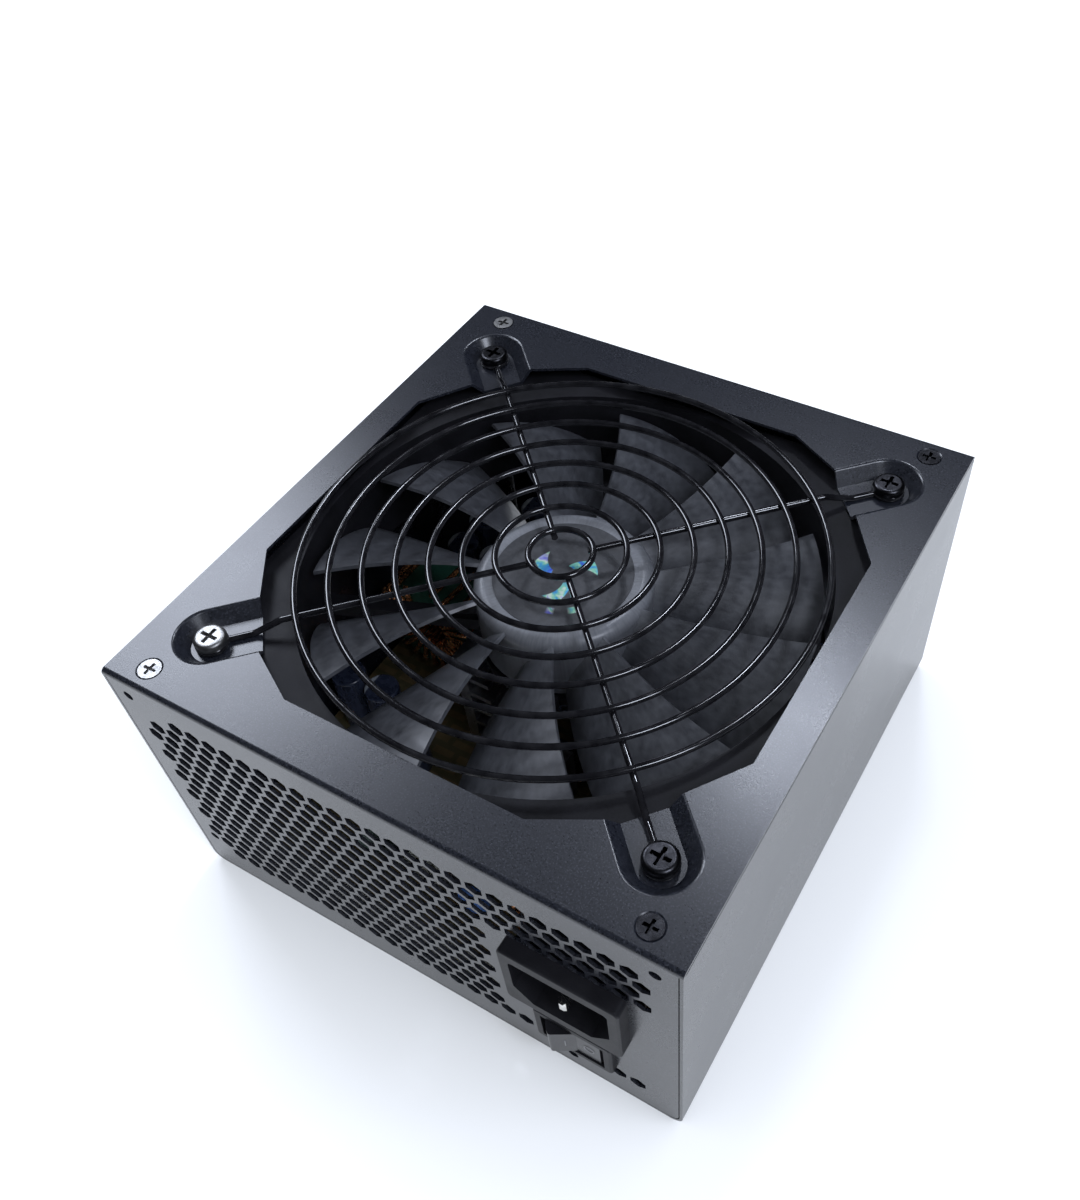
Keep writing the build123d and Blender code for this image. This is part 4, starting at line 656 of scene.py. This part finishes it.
def rocker_marks():
    """Raised bar and ring on the two halves of the rocker: the plain signs for on and off."""
    pivot = Vector(ROCKER_JOINT["pos_m"])
    ridge = pivot + ROCKER_RIDGE * MM
    up = Vector((0, 0, 1))
    bm = bmesh.new()
    line = MARK_LINE_R * MM
    for mark, (along, reach) in (("on", ON_HALF), ("off", OFF_HALF)):
        outward = along.cross(up)
        if outward.y > 0:
            outward = -outward
        middle = ridge + along * reach * MM + outward * MARK_PROUD * MM
        if mark == "on":
            tube(bm, [middle - up * BAR_REACH * MM, middle, middle + up * BAR_REACH * MM], line)
            continue
        around = [2 * pi * step / RING_STEPS for step in range(RING_STEPS)]
        path = [middle + RING_R * MM * (along * cos(turn) + up * sin(turn)) for turn in around]
        tube(bm, path, line, closed=True)
    add_piece("rocker_marks", bm, "rocker", "mark_paint")


rocker_marks()

# Sizes of the capacitor tops. Heights are above the floor of the CAD dish.
DISH_DEPTH = 0.4 * MM
DISH_SHARE = 0.8
TOP_RISE = 0.26 * MM
SCORE_RISE = 0.12 * MM
RIM_RISE = 0.05 * MM
SCORE_REACH = 0.7 * MM
SCORE_SHARE = 0.8
TOP_RINGS = 9
TOP_SIDES = 48


def capacitor_vents():
    """Bare aluminium top in the dish of each bulk capacitor, scored with a cross that vents it."""
    low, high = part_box("bulk_capacitors")
    radius = (high.x - low.x) / 2
    dish = DISH_SHARE * radius
    bm = bmesh.new()
    for centre_y in (low.y + radius, high.y - radius):
        centre = Vector(((low.x + high.x) / 2, centre_y, high.z - DISH_DEPTH))
        rows = []
        for ring in range(TOP_RINGS):
            row = []
            for side in range(TOP_SIDES):
                turn = 2 * pi * side / TOP_SIDES
                out = dish * (ring + 1) / TOP_RINGS
                scored = abs(sin(2 * turn)) * out < SCORE_REACH and out < SCORE_SHARE * dish
                rise = SCORE_RISE if scored else TOP_RISE
                if ring == TOP_RINGS - 1:
                    rise = RIM_RISE
                row.append(bm.verts.new(centre + Vector((out * cos(turn), out * sin(turn), rise))))
            rows.append(row)
        middle = bm.verts.new(centre + Vector((0, 0, SCORE_RISE)))
        for side in range(TOP_SIDES):
            bm.faces.new((middle, rows[0][side - 1], rows[0][side]))
            for near, far in zip(rows, rows[1:]):
                bm.faces.new((near[side], near[side - 1], far[side - 1], far[side]))
        bm.faces.new(rows[-1])
    add_piece("capacitor_vents", bm, "case", "aluminium")


capacitor_vents()


# ---------------------------------------------------------------- stage


FLOOR_REACH = 6.0


def floor():
    """Wide pale floor under the object."""
    mesh = bpy.data.meshes.new("floor")
    bm = bmesh.new()
    bmesh.ops.create_grid(bm, x_segments=1, y_segments=1, size=FLOOR_REACH)
    bm.to_mesh(mesh)
    bm.free()
    made = bpy.data.objects.new("floor", mesh)
    bpy.context.scene.collection.objects.link(made)
    finish = Finish("pale_floor", (0.86, 0.86, 0.86), 0.7)
    stops = [(0.3, (0.85, 0.85, 0.85)), (0.7, (0.88, 0.88, 0.88))]
    finish.set("Base Color", finish.ramp(finish.grain(300.0, 3.0), stops))
    mesh.materials.append(finish.material)


def softbox(name, direction, distance, size, power, color, shiny=True):
    """Area light that stands off from the middle of the object and faces it.

    Without shiny it only lights the matt part of each finish, and no surface mirrors it."""
    low, high = cad_bounds
    middle = (low + high) / 2
    light = bpy.data.lights.new(name, "AREA")
    light.shape = "RECTANGLE"
    light.size, light.size_y = size
    light.energy = power
    light.color = color
    made = bpy.data.objects.new(name, light)
    made.location = middle + Vector(direction).normalized() * distance
    made.rotation_euler = Vector(direction).to_track_quat("Z", "Y").to_euler()
    made.visible_glossy = shiny
    bpy.context.scene.collection.objects.link(made)


def surroundings(color, strength):
    """Pale light from all round, which the gloss of a surface doesn't mirror."""
    world = bpy.data.worlds.new("surroundings")
    bpy.context.scene.world = world
    world.use_nodes = True
    world.node_tree.nodes["Background"].inputs["Color"].default_value = (*color, 1.0)
    world.node_tree.nodes["Background"].inputs["Strength"].default_value = strength
    world.cycles_visibility.glossy = False


CAMERA_PLACE = (0.1140, -0.1543, 0.2855)
CAMERA_TURN = (39.30, 3.27, 30.60)
CAMERA_SHIFT = (-0.0453, 0.0363)
FOCAL_LENGTH = 34.42
SENSOR_WIDTH = 36.0
CLIP_RANGE = (0.01, 20.0)


def camera():
    """Camera at the reference view: place in metres, turn in degrees, lens in millimetres."""
    lens = bpy.data.cameras.new("camera")
    lens.lens = FOCAL_LENGTH
    lens.sensor_width = SENSOR_WIDTH
    lens.shift_x, lens.shift_y = CAMERA_SHIFT
    lens.clip_start, lens.clip_end = CLIP_RANGE
    made = bpy.data.objects.new("camera", lens)
    made.location = CAMERA_PLACE
    made.rotation_euler = [radians(turn) for turn in CAMERA_TURN]
    bpy.context.scene.collection.objects.link(made)
    bpy.context.scene.camera = made


COOL = (0.8, 0.86, 1.0)

floor()
surroundings((0.92, 0.96, 1.0), 1.0)
softbox("left_softbox", (-0.67, 0.28, 0.69), 1.0, (0.32, 0.32), 3.3, COOL)
softbox("far_strip", (-0.12, 0.53, 0.84), 1.1, (0.12, 0.12), 2.2, COOL)
softbox("near_bank", (0.6, -0.2, 0.8), 2.6, (0.65, 0.65), 22.0, COOL)
softbox("right_bank", (1.0, 0.15, 0.6), 1.4, (0.8, 0.5), 8.0, COOL, shiny=False)
camera()
bpy.context.scene.view_settings.view_transform = "Standard"
